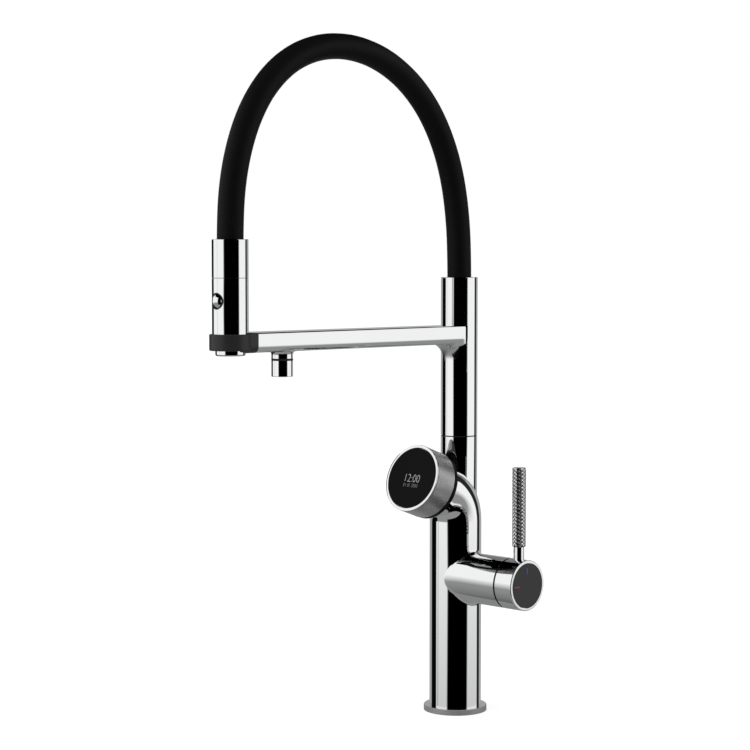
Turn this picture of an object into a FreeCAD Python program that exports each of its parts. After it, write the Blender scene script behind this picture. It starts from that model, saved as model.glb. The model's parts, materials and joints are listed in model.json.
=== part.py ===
import FreeCAD, Part
import math
import os
import re
import Sketcher

# Kitchen mixer tap with a swivelling docking arm, a sprung black hose and a pull-out spray.
# Millimetres, +Z up, the arm and the dial face -Y, the valve barrel points to +X.
# The origin is on the lower body's axis, on the worktop that the base flange stands on.

DRIVING_SIZES = [
    # Lower body, bent neck and base
    ("body_dia", 46.0),
    ("body_wall", 3.5),
    ("flange_dia", 56.0),
    ("flange_thick", 5.0),
    ("flange_round", 0.8),
    ("gasket_dia", 48.0),
    ("gasket_width", 5.6),
    ("gasket_thick", 1.5),
    ("neck_bend", 30.0),
    ("neck_end", 32.6),
    ("column_dia", 32.5),
    ("column_wall", 3.0),
    ("column_back", 4.25),
    ("swivel_height", 244.6),
    # Fixing below the worktop
    ("deck_depth", 38.0),
    ("shank_dia", 32.4),
    ("shank_relief", 0.4),
    ("shank_relief_width", 1.0),
    ("shank_length", 62.0),
    ("shank_bore_dia", 26.4),
    ("shank_socket", 15.0),
    ("washer_dia", 54.0),
    ("rubber_washer_thick", 3.0),
    ("clamp_washer_thick", 3.0),
    ("nut_height", 10.0),
    ("nut_flats", 46.0),
    # Water inlets
    ("manifold_height", 18.0),
    ("inlet_dia", 9.0),
    ("inlet_depth", 13.0),
    ("inlet_circle", 14.0),
    ("inlet_waterway_dia", 5.0),
    ("cable_hole_dia", 4.4),
    ("cable_hole_reach", 10.2),
    ("ring_seal_thick", 2.4),
    # Mixing valve and lever
    ("barrel_height", 120.5),
    ("barrel_dia", 44.0),
    ("barrel_end", 64.0),
    ("barrel_root_round", 3.0),
    ("barrel_seat", 30.0),
    ("cartridge_dia", 35.0),
    ("cartridge_length", 22.0),
    ("cartridge_nose_dia", 30.0),
    ("cartridge_nose", 6.0),
    ("cartridge_nut_dia", 38.0),
    ("cartridge_nut_thread", 6.0),
    ("cartridge_nut_lead", 3.0),
    ("port_dia", 6.0),
    ("port_circle", 19.0),
    ("port_seal_dia", 9.2),
    ("port_seal_thick", 1.6),
    ("stem_dia", 16.0),
    ("stem_depth", 12.0),
    ("post_dia", 8.3),
    ("post_depth", 10.0),
    ("cap_gap", 1.8),
    ("cap_length", 18.4),
    ("cap_round", 0.9),
    ("cap_skirt", 3.9),
    ("cap_rim", 2.4),
    ("disc_thick", 1.5),
    ("disc_recess", 0.3),
    ("mark_length", 5.6),
    ("mark_width", 1.1),
    ("mark_thick", 0.4),
    ("mark_inset", 3.8),
    ("lever_from_gap", 8.5),
    ("lever_neck_dia", 9.3),
    ("lever_neck_length", 11.3),
    ("lever_stud_dia", 6.0),
    ("lever_stud_length", 11.0),
    ("lever_spigot_length", 16.0),
    ("lever_taper", 2.0),
    ("grip_dia", 12.0),
    ("grip_length", 68.7),
    ("grip_round", 0.7),
    ("grub_dia", 5.0),
    ("grub_sink", 2.0),
    # Swivel joint of the column
    ("spigot_dia", 24.8),
    ("spigot_bore_dia", 16.0),
    ("spigot_foot_height", 12.0),
    ("spigot_foot_below", 37.0),
    ("spigot_above", 74.0),
    ("spigot_seal_thick", 3.0),
    ("low_seal_rise", 21.0),
    ("high_seal_rise", 49.0),
    ("bush_length", 10.0),
    ("low_bush_rise", 3.0),
    ("high_bush_rise", 59.0),
    ("clip_thick", 1.2),
    ("clip_depth", 0.7),
    ("thrust_thick", 0.9),
    ("thrust_inset", 0.7),
    ("spigot_screw_dia", 4.0),
    # Swivelling column and docking arm
    ("arm_rise", 98.0),
    ("arm_height", 16.0),
    ("arm_width", 29.0),
    ("arm_bottom_round", 5.5),
    ("arm_top_round", 1.6),
    ("arm_wall", 3.0),
    ("arm_root_round", 13.0),
    ("reach", 266.8),
    ("tube_dia", 7.0),
    ("tube_wall", 1.2),
    ("sleeve_length", 42.5),
    ("sleeve_round", 0.6),
    ("sleeve_spigot", 4.5),
    ("sleeve_seat", 17.0),
    # Small water nozzle under the arm
    ("nozzle_reach", 211.7),
    ("nozzle_dia", 17.6),
    ("nozzle_boss", 6.2),
    ("nozzle_block", 24.0),
    ("nozzle_thread_dia", 14.2),
    ("nozzle_thread_length", 8.0),
    ("nozzle_waterway_dia", 8.0),
    ("nozzle_ring_thick", 1.2),
    ("nozzle_ring_inset", 0.3),
    ("nozzle_length", 13.3),
    ("nozzle_round", 0.5),
    ("nozzle_root_round", 3.0),
    ("nozzle_lip", 2.2),
    ("nozzle_mouth_dia", 12.6),
    ("aerator_thick", 3.0),
    ("aerator_hole_dia", 1.4),
    ("aerator_hole_circle", 7.6),
    # Docking collar
    ("collar_drop", 0.8),
    ("collar_height", 13.1),
    ("collar_dia", 33.6),
    ("collar_tail", 16.9),
    ("collar_round", 0.9),
    ("collar_lip", 3.0),
    ("tenon_length", 17.0),
    ("collar_screw_dia", 4.0),
    ("collar_screw_head_dia", 7.0),
    ("collar_screw_head", 2.0),
    ("magnet_width", 8.0),
    ("magnet_thick", 1.6),
    ("magnet_height", 6.0),
    # Hose
    ("hose_dia", 21.2),
    ("hose_bore_dia", 10.0),
    ("hose_tail_bore_dia", 7.0),
    ("hose_tail_flange_dia", 16.0),
    ("hose_tail_reach", 14.0),
    # Spray head
    ("spray_dia", 29.0),
    ("spray_wall", 3.0),
    ("spray_joint_rise", 43.4),
    ("spray_joint_gap", 0.4),
    ("ferrule_length", 30.5),
    ("spray_round", 0.6),
    ("ferrule_seat", 12.0),
    ("tip_drop", 18.1),
    ("tip_dia", 24.0),
    ("tip_round", 1.4),
    ("tip_lip", 1.0),
    ("tip_mouth_dia", 17.4),
    ("tip_wall", 2.4),
    ("tip_spigot", 2.2),
    ("face_thick", 3.2),
    ("jet_dia", 1.3),
    ("jet_circle_small", 7.0),
    ("jet_circle_large", 14.0),
    ("swivel_pin_dia", 12.0),
    ("swivel_pin_length", 15.0),
    ("core_waterway_dia", 9.0),
    ("core_foot", 3.0),
    ("button_drop", 18.1),
    ("button_dia", 11.0),
    ("button_proud", 2.4),
    ("button_head", 3.4),
    ("button_round", 1.4),
    ("button_stem_dia", 5.0),
    ("button_stem_end", 3.0),
    ("button_travel", 1.6),
    ("button_seal_width", 0.9),
    # Dial with the round display
    ("dial_drop", 53.4),
    ("dial_tilt", 20.0),
    ("dial_face", 59.8),
    ("dial_dia", 59.6),
    ("dial_back_thick", 3.2),
    ("dial_back_inset", 0.4),
    ("dial_gap", 0.4),
    ("bezel_width", 2.7),
    ("bezel_length", 2.6),
    ("bezel_round", 0.8),
    ("glass_thick", 1.1),
    ("glass_recess", 0.5),
    ("hub_dia", 40.0),
    ("hub_wall", 3.0),
    ("hub_length", 12.9),
    ("housing_floor", 2.5),
    ("housing_set_back", 1.0),
    ("bush_wall", 1.1),
    ("dial_bush_length", 10.0),
    ("dial_bush_start", 0.9),
    ("module_dia", 45.6),
    ("module_thick", 5.6),
    ("plunger_length", 10.0),
    ("press_travel", 0.8),
    ("board_thick", 1.6),
    ("switch_width", 6.0),
    # Clearances
    ("seat_gap", 0.05),
    ("turn_gap", 0.06),
    ("clear_gap", 0.3),
    ("stop_gap", 0.2),
    ("overcut", 1.0),
]

# Hose route in the vertical plane of the arm. Each corner has its share of the reach, and its
# height over a line from the sleeve's upper end to the ferrule's upper end.
HOSE_ROUTE = [
    (0.0000, -16.70),
    (0.0000, 19.30),
    (0.0101, 54.98),
    (0.0364, 88.06),
    (0.0847, 117.84),
    (0.1555, 142.72),
    (0.2466, 161.06),
    (0.3557, 172.63),
    (0.4738, 176.42),
    (0.5896, 172.79),
    (0.6945, 162.79),
    (0.7871, 146.98),
    (0.8658, 125.41),
    (0.9262, 99.72),
    (0.9689, 70.08),
    (0.9929, 39.42),
    (1.0000, 7.90),
    (1.0000, -17.95),
]
ARC_SHARE = 0.45

# Measures that follow from the driving sizes.
FORMULAS = {
    "body_r": "body_dia / 2",
    "body_bore_r": "body_dia / 2 - body_wall",
    "column_r": "column_dia / 2",
    "column_bore_r": "column_dia / 2 - column_wall",
    "dial_axis_height": "swivel_height - dial_drop",
    "neck_turn": "90 - dial_tilt",
    "neck_tangent": "neck_bend * tan((90 - dial_tilt) / 2)",
    "neck_start": "dial_axis_height - neck_tangent",
    "barrel_r": "barrel_dia / 2",
    "shank_bore_r": "shank_bore_dia / 2",
    "shank_top": "flange_thick + shank_socket",
    "manifold_top": "shank_top + manifold_height",
    "manifold_r": "body_bore_r - 4 * seat_gap",
    "flange_bore_r": "shank_dia / 2 + 2 * clear_gap",
    "nut_top": "-deck_depth - rubber_washer_thick - clamp_washer_thick",
    "washer_bore_r": "shank_dia / 2 + clear_gap",
    "cartridge_r": "cartridge_dia / 2",
    "cartridge_front": "barrel_seat + cartridge_length",
    "cartridge_tip": "cartridge_front + cartridge_nose",
    "cartridge_nut_start": "cartridge_front + cartridge_nut_lead",
    "cartridge_nut_end": "cartridge_nut_start + cartridge_nut_thread",
    "nut_bore_r": "cartridge_nose_dia / 2 + seat_gap",
    "cap_back": "barrel_end + cap_gap",
    "cap_face": "cap_back + cap_length",
    "cap_web": "cap_back + cap_skirt",
    "disc_r": "barrel_dia / 2 - cap_rim - clear_gap",
    "disc_face": "cap_face - disc_recess",
    "disc_back": "disc_face - disc_thick",
    "cap_front_web": "disc_back - clear_gap",
    "stem_front": "cap_front_web - clear_gap",
    "post_front": "disc_back + disc_thick / 2",
    "lever_reach": "cap_back + lever_from_gap",
    "neck_seat": "sqrt(barrel_dia^2 / 4 - (lever_neck_dia / 2 + 2 * seat_gap)^2) - seat_gap",
    "lever_foot": "barrel_height + neck_seat",
    "grip_bottom": "lever_foot + lever_neck_length",
    "grip_top": "grip_bottom + grip_length",
    "spigot_r": "spigot_dia / 2",
    "spigot_bottom": "swivel_height - spigot_foot_below",
    "spigot_shoulder": "spigot_bottom + spigot_foot_height",
    "spigot_top": "swivel_height + spigot_above",
    "thrust_top": "swivel_height + thrust_thick",
    "spout_bottom": "thrust_top + 2 * seat_gap",
    "clip_bottom": "swivel_height + high_bush_rise + bush_length + clear_gap",
    "arm_top": "swivel_height + arm_rise",
    "arm_bottom": "arm_top - arm_height",
    "arm_middle": "arm_top - arm_height / 2",
    "spray_y": "column_back - reach",
    "nozzle_y": "column_back - nozzle_reach",
    "spray_r": "spray_dia / 2",
    "hose_r": "hose_dia / 2",
    "hose_hole_r": "hose_dia / 2 + clear_gap",
    "hose_tail_r": "hose_bore_dia / 2 - 2 * seat_gap",
    "sleeve_top": "arm_top + sleeve_length",
    "sleeve_step": "sleeve_top - sleeve_seat",
    "sleeve_hole_r": "hose_tail_flange_dia / 2 + seat_gap",
    "nozzle_r": "nozzle_dia / 2",
    "nozzle_root": "arm_bottom - nozzle_boss",
    "nozzle_shell_top": "nozzle_root - nozzle_ring_thick",
    "nozzle_bottom": "nozzle_shell_top - nozzle_length",
    "nozzle_shelf": "nozzle_bottom + nozzle_lip",
    "nozzle_bore_r": "nozzle_thread_dia / 2 + seat_gap",
    "collar_top": "arm_top - collar_drop",
    "collar_bottom": "collar_top - collar_height",
    "collar_seat": "collar_bottom + collar_lip",
    "collar_bore_r": "spray_dia / 2 + clear_gap",
    "arm_end": "reach - collar_tail",
    "spray_joint": "arm_top + spray_joint_rise",
    "spray_top": "spray_joint + ferrule_length",
    "shell_bottom": "collar_seat + stop_gap",
    "shell_top": "spray_joint - spray_joint_gap / 2",
    "shell_bore_r": "spray_dia / 2 - spray_wall",
    "ferrule_bottom": "spray_joint + spray_joint_gap / 2",
    "ferrule_step": "ferrule_bottom + ferrule_seat",
    "pin_bottom": "ferrule_bottom - swivel_pin_length",
    "tip_bottom": "arm_top - tip_drop",
    "tip_shelf": "tip_bottom + tip_lip",
    "tip_bore_r": "tip_dia / 2 - tip_wall",
    "face_top": "tip_shelf + face_thick",
    "core_bottom": "shell_bottom + tip_spigot + core_foot",
    "core_r": "shell_bore_r - seat_gap",
    "core_top": "shell_top - 2 * seat_gap",
    "button_height": "spray_joint - button_drop",
    "button_face": "spray_r + button_proud",
    "button_back": "button_face - button_head",
    "button_pocket_r": "button_dia / 2 + clear_gap",
    "button_hole_r": "button_pocket_r + button_seal_width",
    "button_floor": "button_back - button_travel - button_proud",
    "dial_r": "dial_dia / 2",
    "dial_back": "neck_end + dial_back_thick",
    "ring_back": "dial_back + dial_gap",
    "bezel_back": "dial_face - bezel_length",
    "bezel_bore_r": "dial_dia / 2 - bezel_width",
    "glass_r": "bezel_bore_r - clear_gap",
    "glass_front": "dial_face - glass_recess",
    "glass_back": "glass_front - glass_thick",
    "hub_r": "hub_dia / 2",
    "hub_bore_r": "hub_dia / 2 - hub_wall",
    "hub_front": "dial_back + hub_length",
    "housing_back": "neck_tangent + housing_set_back",
    "housing_spigot_r": "body_bore_r - seat_gap",
    "ring_bore_r": "hub_dia / 2 + turn_gap + bush_wall + seat_gap",
    "ring_well_r": "module_dia / 2 + 2 * clear_gap",
    "ring_well": "hub_front + 2 * clear_gap",
    "module_back": "glass_back - module_thick",
    "plunger_back": "module_back - plunger_length",
    "board_back": "housing_back + housing_floor + clear_gap",
    "board_front": "board_back + board_thick",
    "switch_front": "plunger_back - press_travel - stop_gap",
}

FUNCTIONS = {"sin", "cos", "tan", "sqrt"}
FULL_TURN = 360.0
PORT_COUNT = 3
INLET_NAMES = ("hot", "cold", "treated")
SMALL_JET_COUNT = 6
LARGE_JET_COUNT = 14
AERATOR_HOLE_COUNT = 10

doc = FreeCAD.newDocument("mixer_tap")
sheet = doc.addObject("Spreadsheet::Sheet", "Sizes")
aliases = set()
for row, (alias, value) in enumerate(DRIVING_SIZES, start=1):
    sheet.set("A%d" % row, alias)
    sheet.set("B%d" % row, str(value))
    sheet.setAlias("B%d" % row, alias)
    aliases.add(alias)
doc.recompute()

nodes = {}


def expression(text):
    """The text with each derived measure written out and each size pointing at its cell."""

    def swap(match):
        word = match.group(0)
        if word in FORMULAS:
            return "(" + expression(FORMULAS[word]) + ")"
        if word in aliases:
            return "Sizes." + word
        if word in FUNCTIONS:
            return word
        raise ValueError("no size is called " + word)

    return re.sub(r"[a-z_][a-z0-9_]*", swap, text)


def number(text):
    """The present value of an expression, in millimetres or degrees."""
    return float(sheet.evalExpression(expression(text)))


def axis_point(axis, along):
    """Where a distance along one of the tap's axes lies, as three expressions."""
    points = {
        "body": ("0", "0", along),
        "column": ("0", "column_back", along),
        "spray": ("0", "spray_y", along),
        "nozzle": ("0", "nozzle_y", along),
        "lever": ("lever_reach", "0", along),
        "barrel": (along, "0", "barrel_height"),
        "button": ("0", "spray_y - (%s)" % along, "button_height"),
        "dial": (
            "0",
            "-cos(dial_tilt) * (%s)" % along,
            "dial_axis_height + sin(dial_tilt) * (%s)" % along,
        ),
    }
    return points[axis]


def turn_of(axis):
    """The rotation that lays the local Z axis along one of the tap's axes."""
    if axis == "barrel":
        return FreeCAD.Rotation(FreeCAD.Vector(0, 1, 0), 90)
    if axis == "button":
        return FreeCAD.Rotation(FreeCAD.Vector(1, 0, 0), 90)
    if axis == "dial":
        return FreeCAD.Rotation(FreeCAD.Vector(1, 0, 0), number("neck_turn"))
    return FreeCAD.Rotation()


def place(item, point, rotation, axis=None):
    """Puts an object at three bound coordinates with a rotation."""
    item.Placement = FreeCAD.Placement(FreeCAD.Vector(*[number(text) for text in point]), rotation)
    for letter, text in zip("xyz", point):
        item.setExpression("Placement.Base." + letter, expression(text))
    if axis == "dial":
        item.setExpression("Placement.Rotation.Angle", expression("neck_turn"))


def keep(label, item):
    """Names a finished sub-part and lists it for writing."""
    item.Label = label
    nodes[label] = item
    return item


def origin_plane(body, role):
    """One of a body's own origin planes."""
    return [feature for feature in body.Origin.OriginFeatures if feature.Role == role][0]


def bind_point(sketch, index, across, up):
    """Ties the first point of a sketch line to two expressions."""
    for name, kind, text, zero_axis in (("x", "DistanceX", across, -2), ("y", "DistanceY", up, -1)):
        if text == "0":
            sketch.addConstraint(Sketcher.Constraint("PointOnObject", index, 1, zero_axis))
            continue
        datum = Sketcher.Constraint(kind, -1, 1, index, 1, number(text))
        place_in_list = sketch.addConstraint(datum)
        title = "%s%d" % (name, index)
        sketch.renameConstraint(place_in_list, title)
        sketch.setExpression("Constraints." + title, expression(text))


def outline(body, role, corners):
    """A closed sketch outline of straight lines through bound corners."""
    sketch = body.newObject("Sketcher::SketchObject", body.Name + "_outline")
    sketch.AttachmentSupport = [(origin_plane(body, role), "")]
    sketch.MapMode = "FlatFace"
    spots = [FreeCAD.Vector(number(across), number(up), 0) for across, up in corners]
    count = len(spots)
    for index in range(count):
        sketch.addGeometry(Part.LineSegment(spots[index], spots[(index + 1) % count]), False)
    for index in range(count):
        sketch.addConstraint(Sketcher.Constraint("Coincident", index, 2, (index + 1) % count, 1))
    for index, (across, up) in enumerate(corners):
        bind_point(sketch, index, across, up)
    return sketch


def turned(label, axis, corners, rounds=()):
    """A turned piece: its half section (radius, distance along the axis), spun a full turn.

    Each entry of rounds is a radius, a distance along the axis and the size of the rounding.
    """
    body = doc.addObject("PartDesign::Body", label)
    sketch = outline(body, "XZ_Plane", corners)
    spin = body.newObject("PartDesign::Revolution", label + "_turn")
    spin.Profile = sketch
    spin.ReferenceAxis = (sketch, ["V_Axis"])
    spin.Angle = 360
    doc.recompute()
    tip = spin
    for count, (radius, along, size) in enumerate(rounds):
        names = circles_at(tip.Shape, number(radius), number(along))
        soft = body.newObject("PartDesign::Fillet", "%s_round%d" % (label, count))
        soft.Base = (tip, names)
        soft.Radius = number(size)
        soft.setExpression("Radius", expression(size))
        doc.recompute()
        tip = soft
    place(body, axis_point(axis, "0"), turn_of(axis), axis)
    body.Label = label
    return body


def circles_at(shape, radius, along):
    """Names of a turned shape's circular edges with this radius at this distance."""
    near = 1e-4
    names = []
    for count, edge in enumerate(shape.Edges, start=1):
        curve = edge.Curve
        if not isinstance(curve, Part.Circle):
            continue
        if abs(curve.Radius - radius) < near and abs(curve.Center.z - along) < near:
            names.append("Edge%d" % count)
    return names


def tube(label, axis, inner, outer, low, high):
    """A plain ring or tube between two radii."""
    return turned(label, axis, [(inner, low), (outer, low), (outer, high), (inner, high)])


def rod(label, axis, radius, low, high):
    """A plain cylinder along one of the tap's axes."""
    item = doc.addObject("Part::Cylinder", label)
    item.setExpression("Radius", expression(radius))
    item.setExpression("Height", expression("(%s) - (%s)" % (high, low)))
    place(item, axis_point(axis, low), turn_of(axis), axis)
    return item


def rod_at(label, radius, length, point, rotation):
    """A plain cylinder that starts at a point and runs along its own turned Z axis."""
    item = doc.addObject("Part::Cylinder", label)
    item.setExpression("Radius", expression(radius))
    item.setExpression("Height", expression(length))
    place(item, point, rotation)
    return item


def block(label, size, corner, rotation=FreeCAD.Rotation()):
    """A box with its lowest corner at a point."""
    item = doc.addObject("Part::Box", label)
    for side, text in zip(("Length", "Width", "Height"), size):
        item.setExpression(side, expression(text))
    place(item, corner, rotation)
    return item


def joined(label, pieces):
    """One solid made of several."""
    item = doc.addObject("Part::MultiFuse", label)
    item.Shapes = pieces
    return item


def cut(label, base, tools):
    """A solid with one or more others taken out of it."""
    item = doc.addObject("Part::Cut", label)
    item.Base = base
    item.Tool = tools[0] if len(tools) == 1 else joined(label + "_tools", tools)
    return item


def group(label, pieces):
    """Several separate like pieces under one name."""
    item = doc.addObject("Part::Compound", label)
    item.Links = pieces
    return keep(label, item)


def ring_points(count, circle):
    """Evenly spaced places on a circle of a given diameter, as pairs of expressions."""
    places = []
    for index in range(count):
        angle = FULL_TURN * (0.25 + index / count)
        places.append(("cos(%.4f) * %s / 2" % (angle, circle), "sin(%.4f) * %s / 2" % (angle, circle)))
    return places


FRONT = FreeCAD.Rotation(FreeCAD.Vector(1, 0, 0), 90)
BACK = FreeCAD.Rotation(FreeCAD.Vector(1, 0, 0), -90)
RIGHT = FreeCAD.Rotation(FreeCAD.Vector(0, 1, 0), 90)
# Turns X to Y, Y to Z and Z to X, so that a ring sector starts upright and leans forward.
LEAN = FreeCAD.Rotation(FreeCAD.Vector(1, 1, 1), 120)


def neck_sector(label, radius):
    """The bent stretch of the neck as a sector of a ring."""
    item = doc.addObject("Part::Torus", label)
    item.setExpression("Radius1", expression("neck_bend"))
    item.setExpression("Radius2", expression(radius))
    item.setExpression("Angle3", expression("neck_turn"))
    place(item, ("0", "-neck_bend", "neck_start"), LEAN)
    return item


def on_cylinder(edge, across, along, radius):
    """Whether the middle of an edge lies on an upright cylinder."""
    near = 1e-3
    spot = edge.valueAt((edge.FirstParameter + edge.LastParameter) / 2)
    return abs(math.hypot(spot.x - across, spot.y - along) - radius) < near


def rounded_barrel(outside):
    """The body's outside with a hollow round where the side barrel meets the tube."""
    body = doc.addObject("PartDesign::Body", "body_rounded")
    body.BaseFeature = outside
    doc.recompute()
    tip = body.Tip
    near = 1e-3
    names = []
    for count, edge in enumerate(tip.Shape.Edges, start=1):
        spot = edge.valueAt((edge.FirstParameter + edge.LastParameter) / 2)
        off_axis = math.hypot(spot.y, spot.z - number("barrel_height"))
        if abs(off_axis - number("barrel_r")) < near and on_cylinder(edge, 0, 0, number("body_r")):
            names.append("Edge%d" % count)
    soft = body.newObject("PartDesign::Fillet", "barrel_root")
    soft.Base = (tip, names)
    soft.Radius = number("barrel_root_round")
    soft.setExpression("Radius", expression("barrel_root_round"))
    doc.recompute()
    return body


def build_main_body():
    """Lower tube, bent neck, side barrel and column stub in one hollow casting."""
    outside = joined(
        "body_outside",
        [
            rod("body_tube", "body", "body_r", "flange_thick", "neck_start"),
            neck_sector("body_neck", "body_r"),
            rod("body_neck_end", "dial", "body_r", "neck_tangent", "neck_end"),
            rod("body_stub", "column", "column_r", "neck_start", "swivel_height"),
            rod("body_barrel", "barrel", "barrel_r", "0", "barrel_end"),
        ],
    )
    hollow = [
        rod("tube_hollow", "body", "body_bore_r", "flange_thick - overcut", "neck_start"),
        neck_sector("neck_hollow", "body_bore_r"),
        rod("neck_end_hollow", "dial", "body_bore_r", "neck_tangent", "neck_end + overcut"),
        rod("stub_hollow", "column", "column_bore_r", "neck_start", "swivel_height + overcut"),
        rod("barrel_hollow", "barrel", "cartridge_r + seat_gap", "barrel_seat", "barrel_end + overcut"),
        rod(
            "nut_hollow", "barrel", "cartridge_nut_dia / 2 + seat_gap", "cartridge_nut_start",
            "barrel_end + overcut",
        ),
        rod_at("spigot_screw_hole", "spigot_screw_dia / 2 + seat_gap", "column_wall + overcut + column_r",
               ("0", "column_back", "spigot_bottom + spigot_foot_height / 2"), BACK),
    ]
    for index, (up, side) in enumerate(ring_points(PORT_COUNT, "port_circle")):
        spot = ("body_bore_r / 2", side, "barrel_height + " + up)
        hollow.append(
            rod_at(
                "port_hollow%d" % index, "port_dia / 2", "barrel_seat - body_bore_r / 2 + overcut", spot,
                RIGHT,
            ),
        )
    keep("main_body", cut("main_body", rounded_barrel(outside), hollow))


def build_base():
    """Flange, gasket, shank, washers and nut that clamp the tap to a worktop."""
    gasket_r = "gasket_dia / 2"
    gasket_bore = "gasket_dia / 2 - gasket_width"
    keep("base_flange", turned(
        "base_flange", "body",
        [
            ("flange_bore_r", "0"),
            (gasket_bore + " - seat_gap", "0"),
            (gasket_bore + " - seat_gap", "gasket_thick"),
            (gasket_r + " + seat_gap", "gasket_thick"),
            (gasket_r + " + seat_gap", "0"),
            ("flange_dia / 2", "0"),
            ("flange_dia / 2", "flange_thick"),
            ("flange_bore_r", "flange_thick"),
        ],
        [("flange_dia / 2", "flange_thick", "flange_round")],
    ))
    keep("base_gasket", tube("base_gasket", "body", gasket_bore, gasket_r, "0", "gasket_thick"))
    shank_r = "shank_dia / 2"
    relief_r = "shank_dia / 2 - shank_relief"
    relief_low = "-deck_depth - shank_relief_width"
    keep("threaded_shank", turned(
        "threaded_shank", "body",
        [
            ("shank_bore_r", "-shank_length"),
            (shank_r + " - clear_gap", "-shank_length"),
            (shank_r, "-shank_length + clear_gap"),
            (shank_r, relief_low),
            (relief_r, relief_low),
            (relief_r, "-deck_depth"),
            (shank_r, "-deck_depth"),
            (shank_r, "0"),
            ("flange_bore_r - seat_gap", "0"),
            ("flange_bore_r - seat_gap", "flange_thick"),
            ("body_bore_r - seat_gap", "flange_thick"),
            ("body_bore_r - seat_gap", "shank_top"),
            ("shank_bore_r", "shank_top"),
        ],
    ))
    rubber_low = "-deck_depth - rubber_washer_thick"
    keep("rubber_washer", tube(
        "rubber_washer", "body", "washer_bore_r", "washer_dia / 2", rubber_low, "-deck_depth"))
    keep("clamp_washer", tube(
        "clamp_washer", "body", "washer_bore_r", "washer_dia / 2", "nut_top", rubber_low))
    hexagon = doc.addObject("Part::Prism", "nut_blank")
    hexagon.Polygon = 6
    hexagon.setExpression("Circumradius", expression("nut_flats / 2 / cos(30)"))
    hexagon.setExpression("Height", expression("nut_height"))
    place(hexagon, axis_point("body", "nut_top - nut_height"), FreeCAD.Rotation())
    bore = rod(
        "nut_bore", "body", shank_r + " + turn_gap", "nut_top - nut_height - overcut",
        "nut_top + overcut",
    )
    keep("mounting_nut", cut("mounting_nut", hexagon, [bore]))


def build_manifold():
    """Brass block with the threaded inlets for the supply hoses and the passage for the lead."""
    groove_r = "manifold_r - ring_seal_thick"
    groove_low = "shank_top + manifold_height / 2 - ring_seal_thick / 2"
    groove_high = "shank_top + manifold_height / 2 + ring_seal_thick / 2"
    blank = turned(
        "manifold_blank", "body",
        [
            ("0", "shank_top"),
            ("manifold_r", "shank_top"),
            ("manifold_r", groove_low),
            (groove_r, groove_low),
            (groove_r, groove_high),
            ("manifold_r", groove_high),
            ("manifold_r", "manifold_top"),
            ("0", "manifold_top"),
        ],
    )
    holes = []
    for name, (across, along) in zip(INLET_NAMES, ring_points(len(INLET_NAMES), "inlet_circle")):
        mouth = (across, along, "shank_top - overcut")
        holes.append(
            rod_at(name + "_inlet", "inlet_dia / 2", "inlet_depth + overcut", mouth, FreeCAD.Rotation()),
        )
        holes.append(
            rod_at(
                name + "_way", "inlet_waterway_dia / 2", "manifold_height + 2 * overcut", mouth,
                FreeCAD.Rotation(),
            ),
        )
    lead = ("cos(30) * cable_hole_reach", "sin(30) * cable_hole_reach", "shank_top - overcut")
    holes.append(
        rod_at(
            "lead_hole", "cable_hole_dia / 2", "manifold_height + 2 * overcut", lead, FreeCAD.Rotation(),
        ),
    )
    keep("inlet_manifold", cut("inlet_manifold", blank, holes))
    keep("manifold_seal", tube(
        "manifold_seal", "body", groove_r, "body_bore_r - seat_gap", groove_low, groove_high))


def build_valve():
    """Cartridge, its seals, nut, turning stem and the fixed post of the index disc."""
    blank = turned(
        "cartridge_blank", "barrel",
        [
            ("0", "barrel_seat"),
            ("cartridge_r", "barrel_seat"),
            ("cartridge_r", "cartridge_front"),
            ("cartridge_nose_dia / 2", "cartridge_front"),
            ("cartridge_nose_dia / 2", "cartridge_tip"),
            ("stem_dia / 2 + turn_gap", "cartridge_tip"),
            ("stem_dia / 2 + turn_gap", "cartridge_tip - stem_depth"),
            ("post_dia / 2 + seat_gap", "cartridge_tip - stem_depth"),
            ("post_dia / 2 + seat_gap", "cartridge_tip - stem_depth - post_depth"),
            ("0", "cartridge_tip - stem_depth - post_depth"),
        ],
    )
    pockets = []
    seals = []
    for index, (up, side) in enumerate(ring_points(PORT_COUNT, "port_circle")):
        spot = ("barrel_seat", side, "barrel_height + " + up)
        before = ("barrel_seat - overcut", side, "barrel_height + " + up)
        pockets.append(
            rod_at(
                "seal_pocket%d" % index, "port_seal_dia / 2", "port_seal_thick + overcut", before, RIGHT,
            ),
        )
        ring = rod_at("seal_ring%d" % index, "port_seal_dia / 2", "port_seal_thick", spot, RIGHT)
        way = rod_at(
            "seal_way%d" % index, "port_dia / 2", "port_seal_thick + 2 * overcut", before, RIGHT,
        )
        seals.append(cut("port_seal%d" % index, ring, [way]))
    keep("mixing_cartridge", cut("mixing_cartridge", blank, pockets))
    group("cartridge_seals", seals)
    keep("cartridge_nut", turned(
        "cartridge_nut", "barrel",
        [
            ("nut_bore_r", "cartridge_front"),
            ("cartridge_r", "cartridge_front"),
            ("cartridge_r", "cartridge_nut_start"),
            ("cartridge_nut_dia / 2", "cartridge_nut_start"),
            ("cartridge_nut_dia / 2", "cartridge_nut_end"),
            ("nut_bore_r", "cartridge_nut_end"),
        ],
    ))
    keep("valve_stem", tube(
        "valve_stem", "barrel", "post_dia / 2 + turn_gap", "stem_dia / 2",
        "cartridge_tip - stem_depth + clear_gap", "stem_front"))
    keep("index_post", rod(
        "index_post", "barrel", "post_dia / 2", "cartridge_tip - stem_depth - post_depth", "post_front"))


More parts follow.
